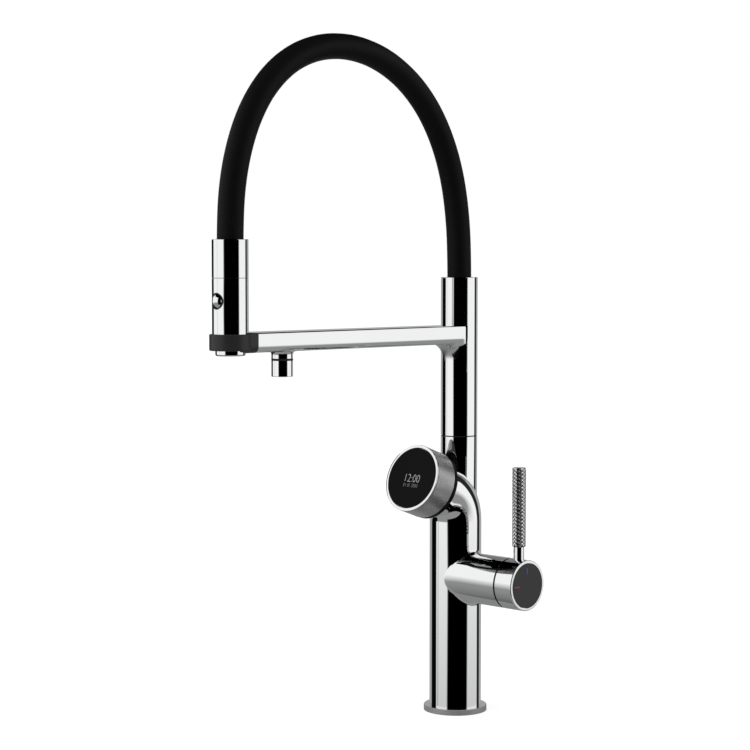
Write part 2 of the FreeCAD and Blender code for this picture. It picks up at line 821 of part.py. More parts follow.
def build_index_disc():
    """Dark disc in the cap's face that stands still, with a cold and a hot mark let into it."""
    blank = turned(
        "disc_blank", "barrel",
        [
            ("0", "post_front"),
            ("post_dia / 2 + seat_gap", "post_front"),
            ("post_dia / 2 + seat_gap", "disc_back"),
            ("disc_r", "disc_back"),
            ("disc_r", "disc_face"),
            ("0", "disc_face"),
        ],
    )
    mark_low = "disc_r - mark_inset - mark_length"
    cold_size = ("mark_thick", "mark_width", "mark_length")
    hot_size = ("mark_thick", "mark_length", "mark_width")
    cold_spot = ("disc_face - mark_thick", "-mark_width / 2", "barrel_height + " + mark_low)
    hot_spot = (
        "disc_face - mark_thick",
        "-(%s) - mark_length" % mark_low,
        "barrel_height - mark_width / 2",
    )
    cuts = [block("cold_slot", cold_size, cold_spot), block("hot_slot", hot_size, hot_spot)]
    keep("index_disc", cut("index_disc", blank, cuts))
    keep("cold_mark", block("cold_mark", cold_size, cold_spot))
    keep("hot_mark", block("hot_mark", hot_size, hot_spot))


def build_lever():
    """Turning cap of the valve with the upright knurled lever."""
    blank = turned(
        "cap_blank", "barrel",
        [
            ("stem_dia / 2 + seat_gap", "cap_web"),
            ("cartridge_nut_dia / 2", "cap_web"),
            ("cartridge_nut_dia / 2", "cap_back"),
            ("barrel_r", "cap_back"),
            ("barrel_r", "cap_face"),
            ("disc_r + clear_gap", "cap_face"),
            ("disc_r + clear_gap", "cap_front_web"),
            ("stem_dia / 2 + seat_gap", "cap_front_web"),
        ],
        [("barrel_r", "cap_face", "cap_round")],
    )
    stud_low = "lever_foot - lever_stud_length"
    cuts = [
        rod("stud_hole", "lever", "lever_stud_dia / 2 + seat_gap", stud_low, "lever_foot + 3 * overcut"),
        rod(
            "neck_seat_face", "lever", "lever_neck_dia / 2 + 2 * seat_gap", "lever_foot",
            "lever_foot + 3 * overcut",
        ),
        rod("grub_hole", "lever", "grub_dia / 2 + seat_gap",
            "barrel_height - barrel_r - overcut", "barrel_height - stem_dia / 4"),
    ]
    keep("lever_cap", cut("lever_cap", blank, cuts))
    keep("lever_grub_screw", rod(
        "lever_grub_screw", "lever", "grub_dia / 2",
        "barrel_height - barrel_r + grub_sink", "barrel_height - stem_dia / 2 - seat_gap"))
    spigot_top = "grip_bottom + lever_spigot_length"
    keep("lever_neck", turned(
        "lever_neck", "lever",
        [
            ("0", stud_low),
            ("lever_stud_dia / 2", stud_low),
            ("lever_stud_dia / 2", "lever_foot"),
            ("lever_neck_dia / 2", "lever_foot"),
            ("lever_neck_dia / 2", "grip_bottom"),
            ("lever_stud_dia / 2", "grip_bottom"),
            ("lever_stud_dia / 2", spigot_top),
            ("0", spigot_top),
        ],
    ))
    keep("lever_grip", turned(
        "lever_grip", "lever",
        [
            ("lever_stud_dia / 2 + seat_gap", "grip_bottom"),
            ("lever_neck_dia / 2", "grip_bottom"),
            ("grip_dia / 2", "grip_bottom + lever_taper"),
            ("grip_dia / 2", "grip_top"),
            ("0", "grip_top"),
            ("0", spigot_top + " + clear_gap"),
            ("lever_stud_dia / 2 + seat_gap", spigot_top + " + clear_gap"),
        ],
        [("grip_dia / 2", "grip_top", "grip_round")],
    ))


def build_swivel():
    """Fixed spigot that the column turns on, with its seals, bushes, thrust ring and clip."""
    seal_r = "spigot_r - spigot_seal_thick / 2"
    corners = [
        ("spigot_bore_dia / 2", "spigot_bottom"),
        ("column_bore_r - seat_gap", "spigot_bottom"),
        ("column_bore_r - seat_gap", "spigot_shoulder"),
        ("spigot_r", "spigot_shoulder"),
    ]
    seals = []
    for index, level in enumerate(("low_seal_rise", "high_seal_rise")):
        low = "swivel_height + %s - spigot_seal_thick / 2" % level
        high = "swivel_height + %s + spigot_seal_thick / 2" % level
        corners += [("spigot_r", low), (seal_r, low), (seal_r, high), ("spigot_r", high)]
        seals.append(
            tube("spigot_seal%d" % index, "column", seal_r, "column_bore_r - 2 * seat_gap", low, high),
        )
    clip_r = "spigot_r - clip_depth"
    clip_top = "clip_bottom + clip_thick"
    corners += [
        ("spigot_r", "clip_bottom"), (clip_r, "clip_bottom"), (clip_r, clip_top), ("spigot_r", clip_top),
    ]
    corners += [("spigot_r", "spigot_top"), ("spigot_bore_dia / 2", "spigot_top")]
    keep("swivel_spigot", turned("swivel_spigot", "column", corners))
    group("spigot_seals", seals)
    bushes = []
    for index, level in enumerate(("low_bush_rise", "high_bush_rise")):
        low = "swivel_height + " + level
        bushes.append(tube(
            "swivel_bush%d" % index, "column", "spigot_r + turn_gap", "column_bore_r - seat_gap",
            low, low + " + bush_length"))
    group("swivel_bushes", bushes)
    keep("spout_clip", tube(
        "spout_clip", "column", clip_r, "column_bore_r - clear_gap", "clip_bottom", clip_top))
    keep("thrust_ring", tube(
        "thrust_ring", "column", "spigot_r + seat_gap", "column_r - thrust_inset",
        "swivel_height", "thrust_top"))
    screw_spot = (
        "0", "column_back + column_bore_r - seat_gap", "spigot_bottom + spigot_foot_height / 2",
    )
    keep("spigot_screw", rod_at(
        "spigot_screw", "spigot_screw_dia / 2", "column_wall - seat_gap", screw_spot, BACK))


def arm_section(label, length, start, rounds):
    """A straight stretch of the arm's outside that runs forward from a place on the Y axis.

    Each entry of rounds is the height of a pair of long edges and the size of their rounding.
    """
    body = doc.addObject("PartDesign::Body", label)
    corners = [
        ("-arm_width / 2", "arm_bottom"),
        ("arm_width / 2", "arm_bottom"),
        ("arm_width / 2", "arm_top"),
        ("-arm_width / 2", "arm_top"),
    ]
    sketch = outline(body, "XZ_Plane", corners)
    pad = body.newObject("PartDesign::Pad", label + "_pad")
    pad.Profile = sketch
    pad.setExpression("Length", expression(length))
    doc.recompute()
    tip = pad
    for count, (level, size) in enumerate(rounds):
        soft = body.newObject("PartDesign::Fillet", "%s_round%d" % (label, count))
        soft.Base = (tip, long_edges(tip.Shape, number(level)))
        soft.Radius = number(size)
        soft.setExpression("Radius", expression(size))
        doc.recompute()
        tip = soft
    place(body, ("0", start, "0"), FreeCAD.Rotation())
    return body


def long_edges(shape, level):
    """Names of the straight edges along the bar at one height."""
    near = 1e-4
    names = []
    for count, edge in enumerate(shape.Edges, start=1):
        first, last = edge.Vertexes[0].Point, edge.Vertexes[-1].Point
        flat = abs(first.z - level) < near and abs(last.z - level) < near
        if flat and abs(first.y - last.y) > 1 and abs(first.x - last.x) < near:
            names.append("Edge%d" % count)
    return names


def column_guard(label):
    """The column's own outside at the arm, which no cut of the arm's sides may reach."""
    return rod(label, "column", "column_r", "arm_bottom - 2 * arm_root_round", "arm_top + 2 * overcut")


def top_corner(label, side):
    """What the rounding of one upper edge takes off the arm, up to the column."""
    axis_x = "%s * (arm_width / 2 - arm_top_round)" % side
    corner_x = axis_x if side == "1" else "-arm_width / 2 - overcut"
    corner = (corner_x, "column_back - arm_end - overcut", "arm_top - arm_top_round")
    size = ("arm_top_round + overcut", "arm_end + overcut", "arm_top_round + overcut")
    core = rod_at(
        label + "_core", "arm_top_round", "arm_end + 2 * overcut",
        (axis_x, "column_back", "arm_top - arm_top_round"), FRONT)
    return cut(label, block(label + "_block", size, corner), [core, column_guard(label + "_guard")])


def side_flare(label, side):
    """What the root's hollow round adds beside the arm's flat side."""
    corner_x = "arm_width / 2" if side == "1" else "-arm_width / 2 - column_r"
    low = "arm_bottom - 2 * arm_root_round + overcut"
    size = ("column_r", "arm_end / 2", "arm_top + overcut - (%s)" % low)
    beside = block(label + "_block", size, (corner_x, "column_back - arm_end / 2", low))
    return cut(label, beside, [column_guard(label + "_guard")])


def rounded_roots(outside):
    """The arm's outside with hollow rounds where the bar meets the column and the nozzle boss."""
    body = doc.addObject("PartDesign::Body", "arm_rounded")
    body.BaseFeature = outside
    doc.recompute()
    tip = body.Tip
    low, high = number("arm_bottom"), number("arm_top")
    half = number("arm_width / 2")
    column, nozzle = number("column_back"), number("nozzle_y")
    near = 1e-3
    for name, size in (("arm_root", "arm_root_round"), ("nozzle_root_edge", "nozzle_root_round")):
        names = []
        for count, edge in enumerate(tip.Shape.Edges, start=1):
            spot = edge.valueAt((edge.FirstParameter + edge.LastParameter) / 2)
            if name == "arm_root":
                wanted = on_cylinder(edge, 0, column, number("column_r")) and spot.y < column
                wanted = wanted and low - near < spot.z < high - near and abs(spot.x) < half + near
            else:
                wanted = on_cylinder(edge, 0, nozzle, number("nozzle_r")) and spot.z > low - near
            if wanted:
                names.append("Edge%d" % count)
        soft = body.newObject("PartDesign::Fillet", name)
        soft.Base = (tip, names)
        soft.Radius = number(size)
        soft.setExpression("Radius", expression(size))
        doc.recompute()
        tip = soft
    return body


def build_arm():
    """Swivelling column with the docking arm and the boss of the small nozzle."""
    outside = joined(
        "arm_outside",
        [
            rod("arm_column", "column", "column_r", "spout_bottom", "arm_top"),
            arm_section("arm_bar", "arm_end", "column_back", [("arm_bottom", "arm_bottom_round")]),
            rod("arm_boss", "nozzle", "nozzle_r", "nozzle_root", "arm_middle"),
            rod(
                "arm_thread", "nozzle", "nozzle_thread_dia / 2", "nozzle_root - nozzle_thread_length",
                "arm_middle",
            ),
        ],
    )
    hollow_width = "arm_width - 2 * arm_wall"
    hollow_height = "arm_height - 2 * arm_wall - arm_wall / 2"
    hollow_low = "arm_bottom + arm_wall + arm_wall / 2"
    block_half = "nozzle_block / 2"
    root_end = "column_r + arm_wall"
    cuts = [
        rod("column_hollow", "column", "column_bore_r", "spout_bottom - overcut", "arm_top + overcut"),
        block(
            "arm_hollow", (
                hollow_width, "nozzle_reach - %s - (%s)" % (block_half, root_end), hollow_height,
            ),
            ("-(%s) / 2" % hollow_width, "nozzle_y + " + block_half, hollow_low)),
        block(
            "tenon_hollow", (hollow_width, "tenon_length + overcut", hollow_height),
            ("-(%s) / 2" % hollow_width, "column_back - arm_end - overcut", hollow_low)),
        rod_at(
            "tube_hole", "tube_dia / 2 + seat_gap", "nozzle_reach - nozzle_waterway_dia / 4",
            ("0", "column_back", "arm_middle"), FRONT),
        rod(
            "nozzle_way", "nozzle", "nozzle_waterway_dia / 2",
            "nozzle_root - nozzle_thread_length - overcut", "arm_middle + tube_dia / 2"),
        rod_at(
            "collar_screw_hole", "collar_screw_dia / 2 + seat_gap", "arm_height / 2",
            (
                "0", "column_back - arm_end + tenon_length / 2", "arm_bottom - overcut",
            ), FreeCAD.Rotation()),
        rod_at(
            "collar_screw_sink", "collar_screw_head_dia / 2 + seat_gap", "collar_screw_head + overcut",
            (
                "0", "column_back - arm_end + tenon_length / 2", "arm_bottom - overcut",
            ), FreeCAD.Rotation()),
    ]
    cuts += [top_corner("left_corner", "-1"), top_corner("right_corner", "1")]
    cuts += [side_flare("left_flare", "-1"), side_flare("right_flare", "1")]
    keep("spout_arm", cut("spout_arm", rounded_roots(outside), cuts))
    pipe_length = "nozzle_reach - nozzle_waterway_dia / 2 - column_bore_r - 2 * clear_gap"
    pipe_spot = ("0", "column_back - column_bore_r - clear_gap", "arm_middle")
    pipe = rod_at("pipe_outside", "tube_dia / 2", pipe_length, pipe_spot, FRONT)
    pipe_way = rod_at(
        "pipe_way", "tube_dia / 2 - tube_wall", "reach", ("0", "column_back", "arm_middle"), FRONT,
    )
    keep("water_tube", cut("water_tube", pipe, [pipe_way]))


def build_sleeve():
    """Upper end of the column that holds the hose, and the hose tail in it."""
    low = "arm_top - sleeve_spigot"
    keep("hose_sleeve", turned(
        "hose_sleeve", "column",
        [
            ("sleeve_hole_r", low),
            ("column_bore_r - seat_gap", low),
            ("column_bore_r - seat_gap", "arm_top"),
            ("column_r", "arm_top"),
            ("column_r", "sleeve_top"),
            ("hose_hole_r", "sleeve_top"),
            ("hose_hole_r", "sleeve_step"),
            ("sleeve_hole_r", "sleeve_step"),
        ],
        [("column_r", "sleeve_top", "sleeve_round")],
    ))
    keep("column_hose_tail", turned(
        "column_hose_tail", "column",
        [
            ("hose_tail_bore_dia / 2", low),
            ("hose_tail_flange_dia / 2", low),
            ("hose_tail_flange_dia / 2", "sleeve_step"),
            ("hose_tail_r", "sleeve_step"),
            ("hose_tail_r", "sleeve_step + hose_tail_reach"),
            ("hose_tail_bore_dia / 2", "sleeve_step + hose_tail_reach"),
        ],
    ))


def build_nozzle():
    """Screwed shell of the small nozzle with its dark ring and the aerator inside."""
    keep("nozzle_ring", tube(
        "nozzle_ring", "nozzle", "nozzle_bore_r", "nozzle_r - nozzle_ring_inset",
        "nozzle_shell_top", "nozzle_root"))
    keep("nozzle_shell", turned(
        "nozzle_shell", "nozzle",
        [
            ("nozzle_mouth_dia / 2", "nozzle_bottom"),
            ("nozzle_r", "nozzle_bottom"),
            ("nozzle_r", "nozzle_shell_top"),
            ("nozzle_bore_r", "nozzle_shell_top"),
            ("nozzle_bore_r", "nozzle_shelf"),
            ("nozzle_mouth_dia / 2", "nozzle_shelf"),
        ],
        [("nozzle_r", "nozzle_bottom", "nozzle_round")],
    ))
    blank = rod(
        "aerator_blank", "nozzle", "nozzle_bore_r - seat_gap", "nozzle_shelf",
        "nozzle_shelf + aerator_thick",
    )
    holes = []
    for index, (across, along) in enumerate(ring_points(AERATOR_HOLE_COUNT, "aerator_hole_circle")):
        spot = (across, "nozzle_y + " + along, "nozzle_shelf - overcut")
        holes.append(
            rod_at(
                "aerator_hole%d" % index, "aerator_hole_dia / 2", "aerator_thick + 2 * overcut", spot,
                FreeCAD.Rotation(),
            ),
        )
    keep("aerator", cut("aerator", blank, holes))


def build_collar():
    """Dark ring at the arm's end that the spray docks in, with its screw and magnet."""
    tail_y = "spray_y + collar_tail"
    ring = turned(
        "collar_round_part", "spray",
        [
            ("0", "collar_bottom"), ("collar_dia / 2", "collar_bottom"),
            ("collar_dia / 2", "collar_top"), ("0", "collar_top"),
        ],
        [
            ("collar_dia / 2", "collar_bottom", "collar_round"),
            ("collar_dia / 2", "collar_top", "collar_round"),
        ],
    )
    tail = arm_section(
        "collar_tail_bar", "collar_tail", tail_y,
        [("arm_bottom", "arm_bottom_round"), ("arm_top", "arm_top_round")])
    hollow_width = "arm_width - 2 * arm_wall - 4 * seat_gap"
    hollow_height = "arm_height - 2 * arm_wall - arm_wall / 2 - 4 * seat_gap"
    tenon = block(
        "collar_tenon", (hollow_width, "tenon_length - clear_gap + overcut", hollow_height),
        (
            "-(%s) / 2" % hollow_width, tail_y + " - overcut",
            "arm_bottom + arm_wall + arm_wall / 2 + 2 * seat_gap",
        ))
    magnet_size = ("magnet_width", "magnet_thick", "magnet_height")
    magnet_spot = (
        "-magnet_width / 2",
        "spray_y + (collar_bore_r + collar_tail) / 2 - magnet_thick / 2",
        "arm_middle - magnet_height / 2",
    )
    cuts = [
        rod("collar_bore", "spray", "collar_bore_r", "collar_seat", "collar_top + 5 * overcut"),
        rod(
            "collar_lip_bore", "spray", "tip_dia / 2 + clear_gap", "arm_bottom - 5 * overcut",
            "collar_top + 5 * overcut",
        ),
        block("magnet_pocket", magnet_size, magnet_spot),
        rod_at(
            "collar_screw_thread", "collar_screw_dia / 2 + seat_gap", "arm_height / 2",
            ("0", tail_y + " + tenon_length / 2", "arm_bottom - overcut"), FreeCAD.Rotation()),
    ]
    keep("docking_collar", cut("docking_collar", joined("collar_outside", [ring, tail, tenon]), cuts))
    keep("dock_magnet", block("dock_magnet", magnet_size, magnet_spot))
    head_top = "arm_bottom + collar_screw_head"
    screw = turned(
        "collar_screw", "body",
        [
            ("0", "arm_bottom"),
            ("collar_screw_head_dia / 2", "arm_bottom"),
            ("collar_screw_head_dia / 2", head_top),
            ("collar_screw_dia / 2", head_top),
            ("collar_screw_dia / 2", "arm_bottom + arm_height / 2 - overcut"),
            ("0", "arm_bottom + arm_height / 2 - overcut"),
        ],
    )
    place(screw, ("0", tail_y + " + tenon_length / 2", "0"), FreeCAD.Rotation())
    keep("collar_screw", screw)


def hose_path():
    """The route's straight runs joined by tangent arcs, with the radius of each arc."""
    reach, back = number("reach"), number("column_back")
    low, high = number("sleeve_top"), number("spray_top")
    points = []
    for share, rise in HOSE_ROUTE:
        points.append(FreeCAD.Vector(0, back - share * reach, low + share * (high - low) + rise))
    edges = []
    radii = []
    start = points[0]
    for before, corner, after in zip(points, points[1:], points[2:]):
        come = (corner - before).normalize()
        leave = (after - corner).normalize()
        half = come.getAngle(leave) / 2
        run = min((corner - before).Length, (after - corner).Length)
        radius = ARC_SHARE * run / math.tan(half)
        first = corner - come * (ARC_SHARE * run)
        last = corner + leave * (ARC_SHARE * run)
        inward = (leave - come).normalize()
        middle = corner + inward * (radius / math.cos(half) - radius)
        edges.append(Part.LineSegment(start, first).toShape())
        edges.append(Part.Arc(first, middle, last).toShape())
        radii.append(radius)
        start = last
    edges.append(Part.LineSegment(start, points[-1]).toShape())
    return Part.Wire(edges), radii


def build_hose():
    """Black sprung hose that arches from the column to the spray, with its bore."""
    path, radii = hose_path()
    solids = []
    for radius in (number("hose_r"), number("hose_bore_dia / 2")):
        start = path.Vertexes[0].Point
        circle = Part.Wire(Part.Circle(start, FreeCAD.Vector(0, 0, 1), radius).toShape())
        solids.append(path.makePipeShell([circle], True, False))
    item = doc.addObject("Part::Feature", "hose")
    item.Shape = solids[0].cut(solids[1])
    item.Placement = FreeCAD.Placement()
    section = math.pi * (number("hose_r") ** 2 - number("hose_bore_dia / 2") ** 2)
    print("hose radii", [round(radius, 1) for radius in radii])
    print(
        "hose length %.2f, volume share %.5f" % (
            path.Length, item.Shape.Volume / (section * path.Length),
        ),
    )
    keep("hose", item)


def build_spray():
    """Spray head: ferrule on the hose, and below it the body that turns under the ferrule."""
    keep("hose_ferrule", turned(
        "hose_ferrule", "spray",
        [
            ("sleeve_hole_r", "ferrule_bottom"),
            ("spray_r", "ferrule_bottom"),
            ("spray_r", "spray_top"),
            ("hose_hole_r", "spray_top"),
            ("hose_hole_r", "ferrule_step"),
            ("sleeve_hole_r", "ferrule_step"),
        ],
        [("spray_r", "spray_top", "spray_round")],
    ))
    keep("spray_hose_tail", turned(
        "spray_hose_tail", "spray",
        [
            ("hose_tail_bore_dia / 2", "pin_bottom"),
            ("swivel_pin_dia / 2", "pin_bottom"),
            ("swivel_pin_dia / 2", "ferrule_bottom"),
            ("hose_tail_flange_dia / 2", "ferrule_bottom"),
            ("hose_tail_flange_dia / 2", "ferrule_step"),
            ("hose_tail_r", "ferrule_step"),
            ("hose_tail_r", "ferrule_step + hose_tail_reach"),
            ("hose_tail_bore_dia / 2", "ferrule_step + hose_tail_reach"),
        ],
    ))
    shell = tube("shell_blank", "spray", "shell_bore_r", "spray_r", "shell_bottom", "shell_top")
    window = rod("button_window", "button", "button_hole_r", "shell_bore_r / 2", "spray_r + overcut")
    keep("spray_shell", cut("spray_shell", shell, [window]))
    core = turned(
        "core_blank", "spray",
        [
            ("core_waterway_dia / 2", "core_bottom"),
            ("core_r", "core_bottom"),
            ("core_r", "core_top"),
            ("swivel_pin_dia / 2 + turn_gap", "core_top"),
            ("swivel_pin_dia / 2 + turn_gap", "pin_bottom - clear_gap"),
            ("core_waterway_dia / 2", "pin_bottom - clear_gap"),
        ],
    )
    keep("spray_core", cut("spray_core", core, [
        rod("stem_bore", "button", "button_stem_dia / 2 + turn_gap", "0", "spray_r"),
        rod("button_pocket", "button", "button_pocket_r", "button_floor", "spray_r"),
    ]))


def build_button():
    """Push button of the spray with its dark ring."""
    keep("spray_button", turned(
        "spray_button", "button",
        [
            ("0", "button_stem_end"),
            ("button_stem_dia / 2", "button_stem_end"),
            ("button_stem_dia / 2", "button_back"),
            ("button_dia / 2", "button_back"),
            ("button_dia / 2", "button_face"),
            ("0", "button_face"),
        ],
        [("button_dia / 2", "button_face", "button_round")],
    ))
    ring = tube(
        "button_seal_blank", "button", "button_pocket_r", "button_hole_r - seat_gap",
        "shell_bore_r", "spray_r + overcut")
    inside = rod("button_seal_limit", "spray", "spray_r", "shell_bottom", "shell_top")
    trimmed = doc.addObject("Part::Common", "button_seal_trim")
    trimmed.Base = ring
    trimmed.Tool = inside
    core = rod("button_seal_core", "spray", "shell_bore_r", "shell_bottom", "shell_top")
    keep("button_seal", cut("button_seal", trimmed, [core]))


def build_tip():
    """Screwed tip of the spray with the soft jet face in it."""
    spigot_top = "shell_bottom + tip_spigot"
    keep("spray_tip", turned(
        "spray_tip", "spray",
        [
            ("tip_mouth_dia / 2", "tip_bottom"),
            ("tip_dia / 2", "tip_bottom"),
            ("tip_dia / 2", "shell_bottom"),
            ("shell_bore_r - seat_gap", "shell_bottom"),
            ("shell_bore_r - seat_gap", spigot_top),
            ("tip_bore_r", spigot_top),
            ("tip_bore_r", "tip_shelf"),
            ("tip_mouth_dia / 2", "tip_shelf"),
        ],
        [("tip_dia / 2", "tip_bottom", "tip_round")],
    ))
    blank = rod("face_blank", "spray", "tip_bore_r - seat_gap", "tip_shelf", "face_top")
    jets = []
    for count, circle in ((SMALL_JET_COUNT, "jet_circle_small"), (LARGE_JET_COUNT, "jet_circle_large")):
        for index, (across, along) in enumerate(ring_points(count, circle)):
            spot = (across, "spray_y + " + along, "tip_shelf - overcut")
            jets.append(
                rod_at(
                    "%s_jet%d" % (circle, index), "jet_dia / 2", "face_thick + 2 * overcut", spot,
                    FreeCAD.Rotation(),
                ),
            )
    keep("spray_face", cut("spray_face", blank, jets))


def build_dial():
    """Dial on the neck: fixed housing, turning knurled ring and the display that can be pressed."""
    seal_low = "(housing_back + neck_end) / 2 - ring_seal_thick / 2"
    seal_high = "(housing_back + neck_end) / 2 + ring_seal_thick / 2"
    seal_r = "housing_spigot_r - ring_seal_thick / 2"
    housing = turned(
        "housing_blank", "dial",
        [
            ("0", "housing_back"),
            ("housing_spigot_r", "housing_back"),
            ("housing_spigot_r", seal_low),
            (seal_r, seal_low),
            (seal_r, seal_high),
            ("housing_spigot_r", seal_high),
            ("housing_spigot_r", "neck_end"),
            ("dial_r - dial_back_inset", "neck_end"),
            ("dial_r - dial_back_inset", "dial_back"),
            ("hub_r", "dial_back"),
            ("hub_r", "hub_front"),
            ("hub_bore_r", "hub_front"),
            ("hub_bore_r", "housing_back + housing_floor"),
            ("0", "housing_back + housing_floor"),
        ],
    )
    lead_hole = rod(
        "housing_lead_hole", "dial", "cable_hole_dia / 2", "housing_back - overcut",
        "housing_back + housing_floor + overcut",
    )
    keep("display_housing", cut("display_housing", housing, [lead_hole]))
    keep(
        "display_seal",
        tube("display_seal", "dial", seal_r, "body_bore_r - seat_gap", seal_low, seal_high),
    )
    bush_start = "ring_back + dial_bush_start"
    keep("dial_bush", tube(
        "dial_bush", "dial", "hub_r + turn_gap", "ring_bore_r - seat_gap",
        bush_start, bush_start + " + dial_bush_length"))
    keep("dial_ring", turned(
        "dial_ring", "dial",
        [
            ("ring_bore_r", "ring_back"),
            ("dial_r", "ring_back"),
            ("dial_r", "bezel_back"),
            ("ring_well_r", "bezel_back"),
            ("ring_well_r", "ring_well"),
            ("ring_bore_r", "ring_well"),
        ],
    ))
    keep("dial_bezel", turned(
        "dial_bezel", "dial",
        [
            ("bezel_bore_r", "bezel_back"), ("dial_r", "bezel_back"), ("dial_r", "dial_face"),
            ("bezel_bore_r", "dial_face"),
        ],
        [("dial_r", "dial_face", "bezel_round")],
    ))
    keep("display_glass", rod("display_glass", "dial", "glass_r", "glass_back", "glass_front"))
    keep("display_module", rod("display_module", "dial", "module_dia / 2", "module_back", "glass_back"))
    keep(
        "display_plunger",
        rod("display_plunger", "dial", "hub_bore_r - turn_gap", "plunger_back", "module_back"),
    )
    keep(
        "display_board",
        rod("display_board", "dial", "hub_bore_r - seat_gap", "board_back", "board_front"),
    )
    half = "switch_width / 2"
    back = "board_front"
    switch = doc.addObject("Part::Box", "press_switch")
    switch.setExpression("Length", expression("switch_width"))
    switch.setExpression("Width", expression("switch_width"))
    switch.setExpression("Height", expression("switch_front - board_front"))
    corner = (
        "-" + half,
        "-cos(dial_tilt) * (%s) - sin(dial_tilt) * %s" % (back, half),
        "dial_axis_height + sin(dial_tilt) * (%s) - cos(dial_tilt) * %s" % (back, half),
    )
    place(switch, corner, turn_of("dial"), "dial")
    keep("press_switch", switch)


def write_parts():
    """Checks every object and writes each sub-part to its own file."""
    doc.recompute()
    for item in doc.Objects:
        if {"Invalid", "Error"} & set(item.State):
            raise RuntimeError("%s failed: %s" % (item.Label, item.State))
    for label, item in nodes.items():
        if item.Shape.isNull() or not item.Shape.isValid():
            raise RuntimeError(label + " has no valid shape")
    os.makedirs("parts", exist_ok=True)
    for label, item in nodes.items():
        item.Shape.exportStep("parts/%s.step" % label)
    print("wrote", len(nodes), "sub-parts")


build_main_body()
build_base()
build_manifold()
build_valve()
build_index_disc()
build_lever()
build_swivel()
build_arm()
build_sleeve()
build_nozzle()
build_collar()
build_hose()
build_spray()
build_button()
build_tip()
build_dial()
write_parts()
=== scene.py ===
"""Looks of a kitchen mixer tap with a docking arm, a black hose arch and a pull-out spray."""

import json
import logging
import math
from dataclasses import dataclass
from enum import Enum
from typing import Any, Callable, Iterable

import bmesh
import bpy
from mathutils import Matrix, Vector


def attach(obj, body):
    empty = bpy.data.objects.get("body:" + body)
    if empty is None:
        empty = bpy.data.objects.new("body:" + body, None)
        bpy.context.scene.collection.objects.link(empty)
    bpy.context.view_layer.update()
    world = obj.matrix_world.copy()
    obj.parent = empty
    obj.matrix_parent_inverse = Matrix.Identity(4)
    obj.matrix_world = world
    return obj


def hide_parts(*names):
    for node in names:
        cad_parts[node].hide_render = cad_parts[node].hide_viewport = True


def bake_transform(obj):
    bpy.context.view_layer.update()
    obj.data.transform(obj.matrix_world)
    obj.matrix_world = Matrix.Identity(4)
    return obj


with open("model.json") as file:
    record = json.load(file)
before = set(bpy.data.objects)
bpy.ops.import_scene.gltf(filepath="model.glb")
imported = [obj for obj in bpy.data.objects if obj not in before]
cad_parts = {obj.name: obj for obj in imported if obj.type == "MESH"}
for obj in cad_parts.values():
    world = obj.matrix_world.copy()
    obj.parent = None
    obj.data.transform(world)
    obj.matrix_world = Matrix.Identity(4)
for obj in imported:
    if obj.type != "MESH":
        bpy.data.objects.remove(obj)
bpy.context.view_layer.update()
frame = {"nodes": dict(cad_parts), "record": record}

LOG = logging.getLogger("mixer_tap")
MM = 0.001
# Spots closer than these are one: in a test, and when doubles are merged
SAME_SPOT = 0.01 * MM
MERGE_SPOT = 0.001 * MM
# From this angle on, an edge of a smooth piece stays sharp
SHARP_EDGE = math.radians(35.0)
# How strongly the finer layers of a noise show
NOISE_FADE = 0.55
# What a mesh keeps at its corners: the height in a knurl, which the knurled finish turns into
# painted shade in the grooves, and how much of a card shows
KNURL_TIP = "knurl_tip"
FEATHER = "feather"

Colour = tuple[float, float, float]
Triple = tuple[float, float, float]
Tone = Colour | bpy.types.NodeSocket
Levels = tuple[tuple[float, float], ...]


class Body(Enum):
    """The moving bodies that new pieces ride on."""

    SPOUT = "spout"
    HOSE_END = "hose_end"
    BUTTON = "button"
    LEVER = "lever"
    DIAL = "dial"
    DISPLAY = "display"


class Slot(Enum):
    """The material slots of the record."""

    CHROME = "polished_chrome"
    SATIN_CHROME = "satin_chrome"
    KNURL = "knurled_steel"
    SILICONE = "black_silicone"
    RUBBER = "black_rubber"
    DARK_SATIN = "dark_satin_plastic"
    DISC = "dark_disc"
    BLACK = "black_plastic"
    MOULDED = "moulded_plastic"
    BRASS = "brass"
    STEEL = "plain_steel"
    GLASS = "display_glass"
    BOARD = "circuit_board"
    COLD = "blue_mark"
    HOT = "red_mark"


def grey(level: float) -> Colour:
    """A neutral colour of one linear level."""
    return (level, level, level)


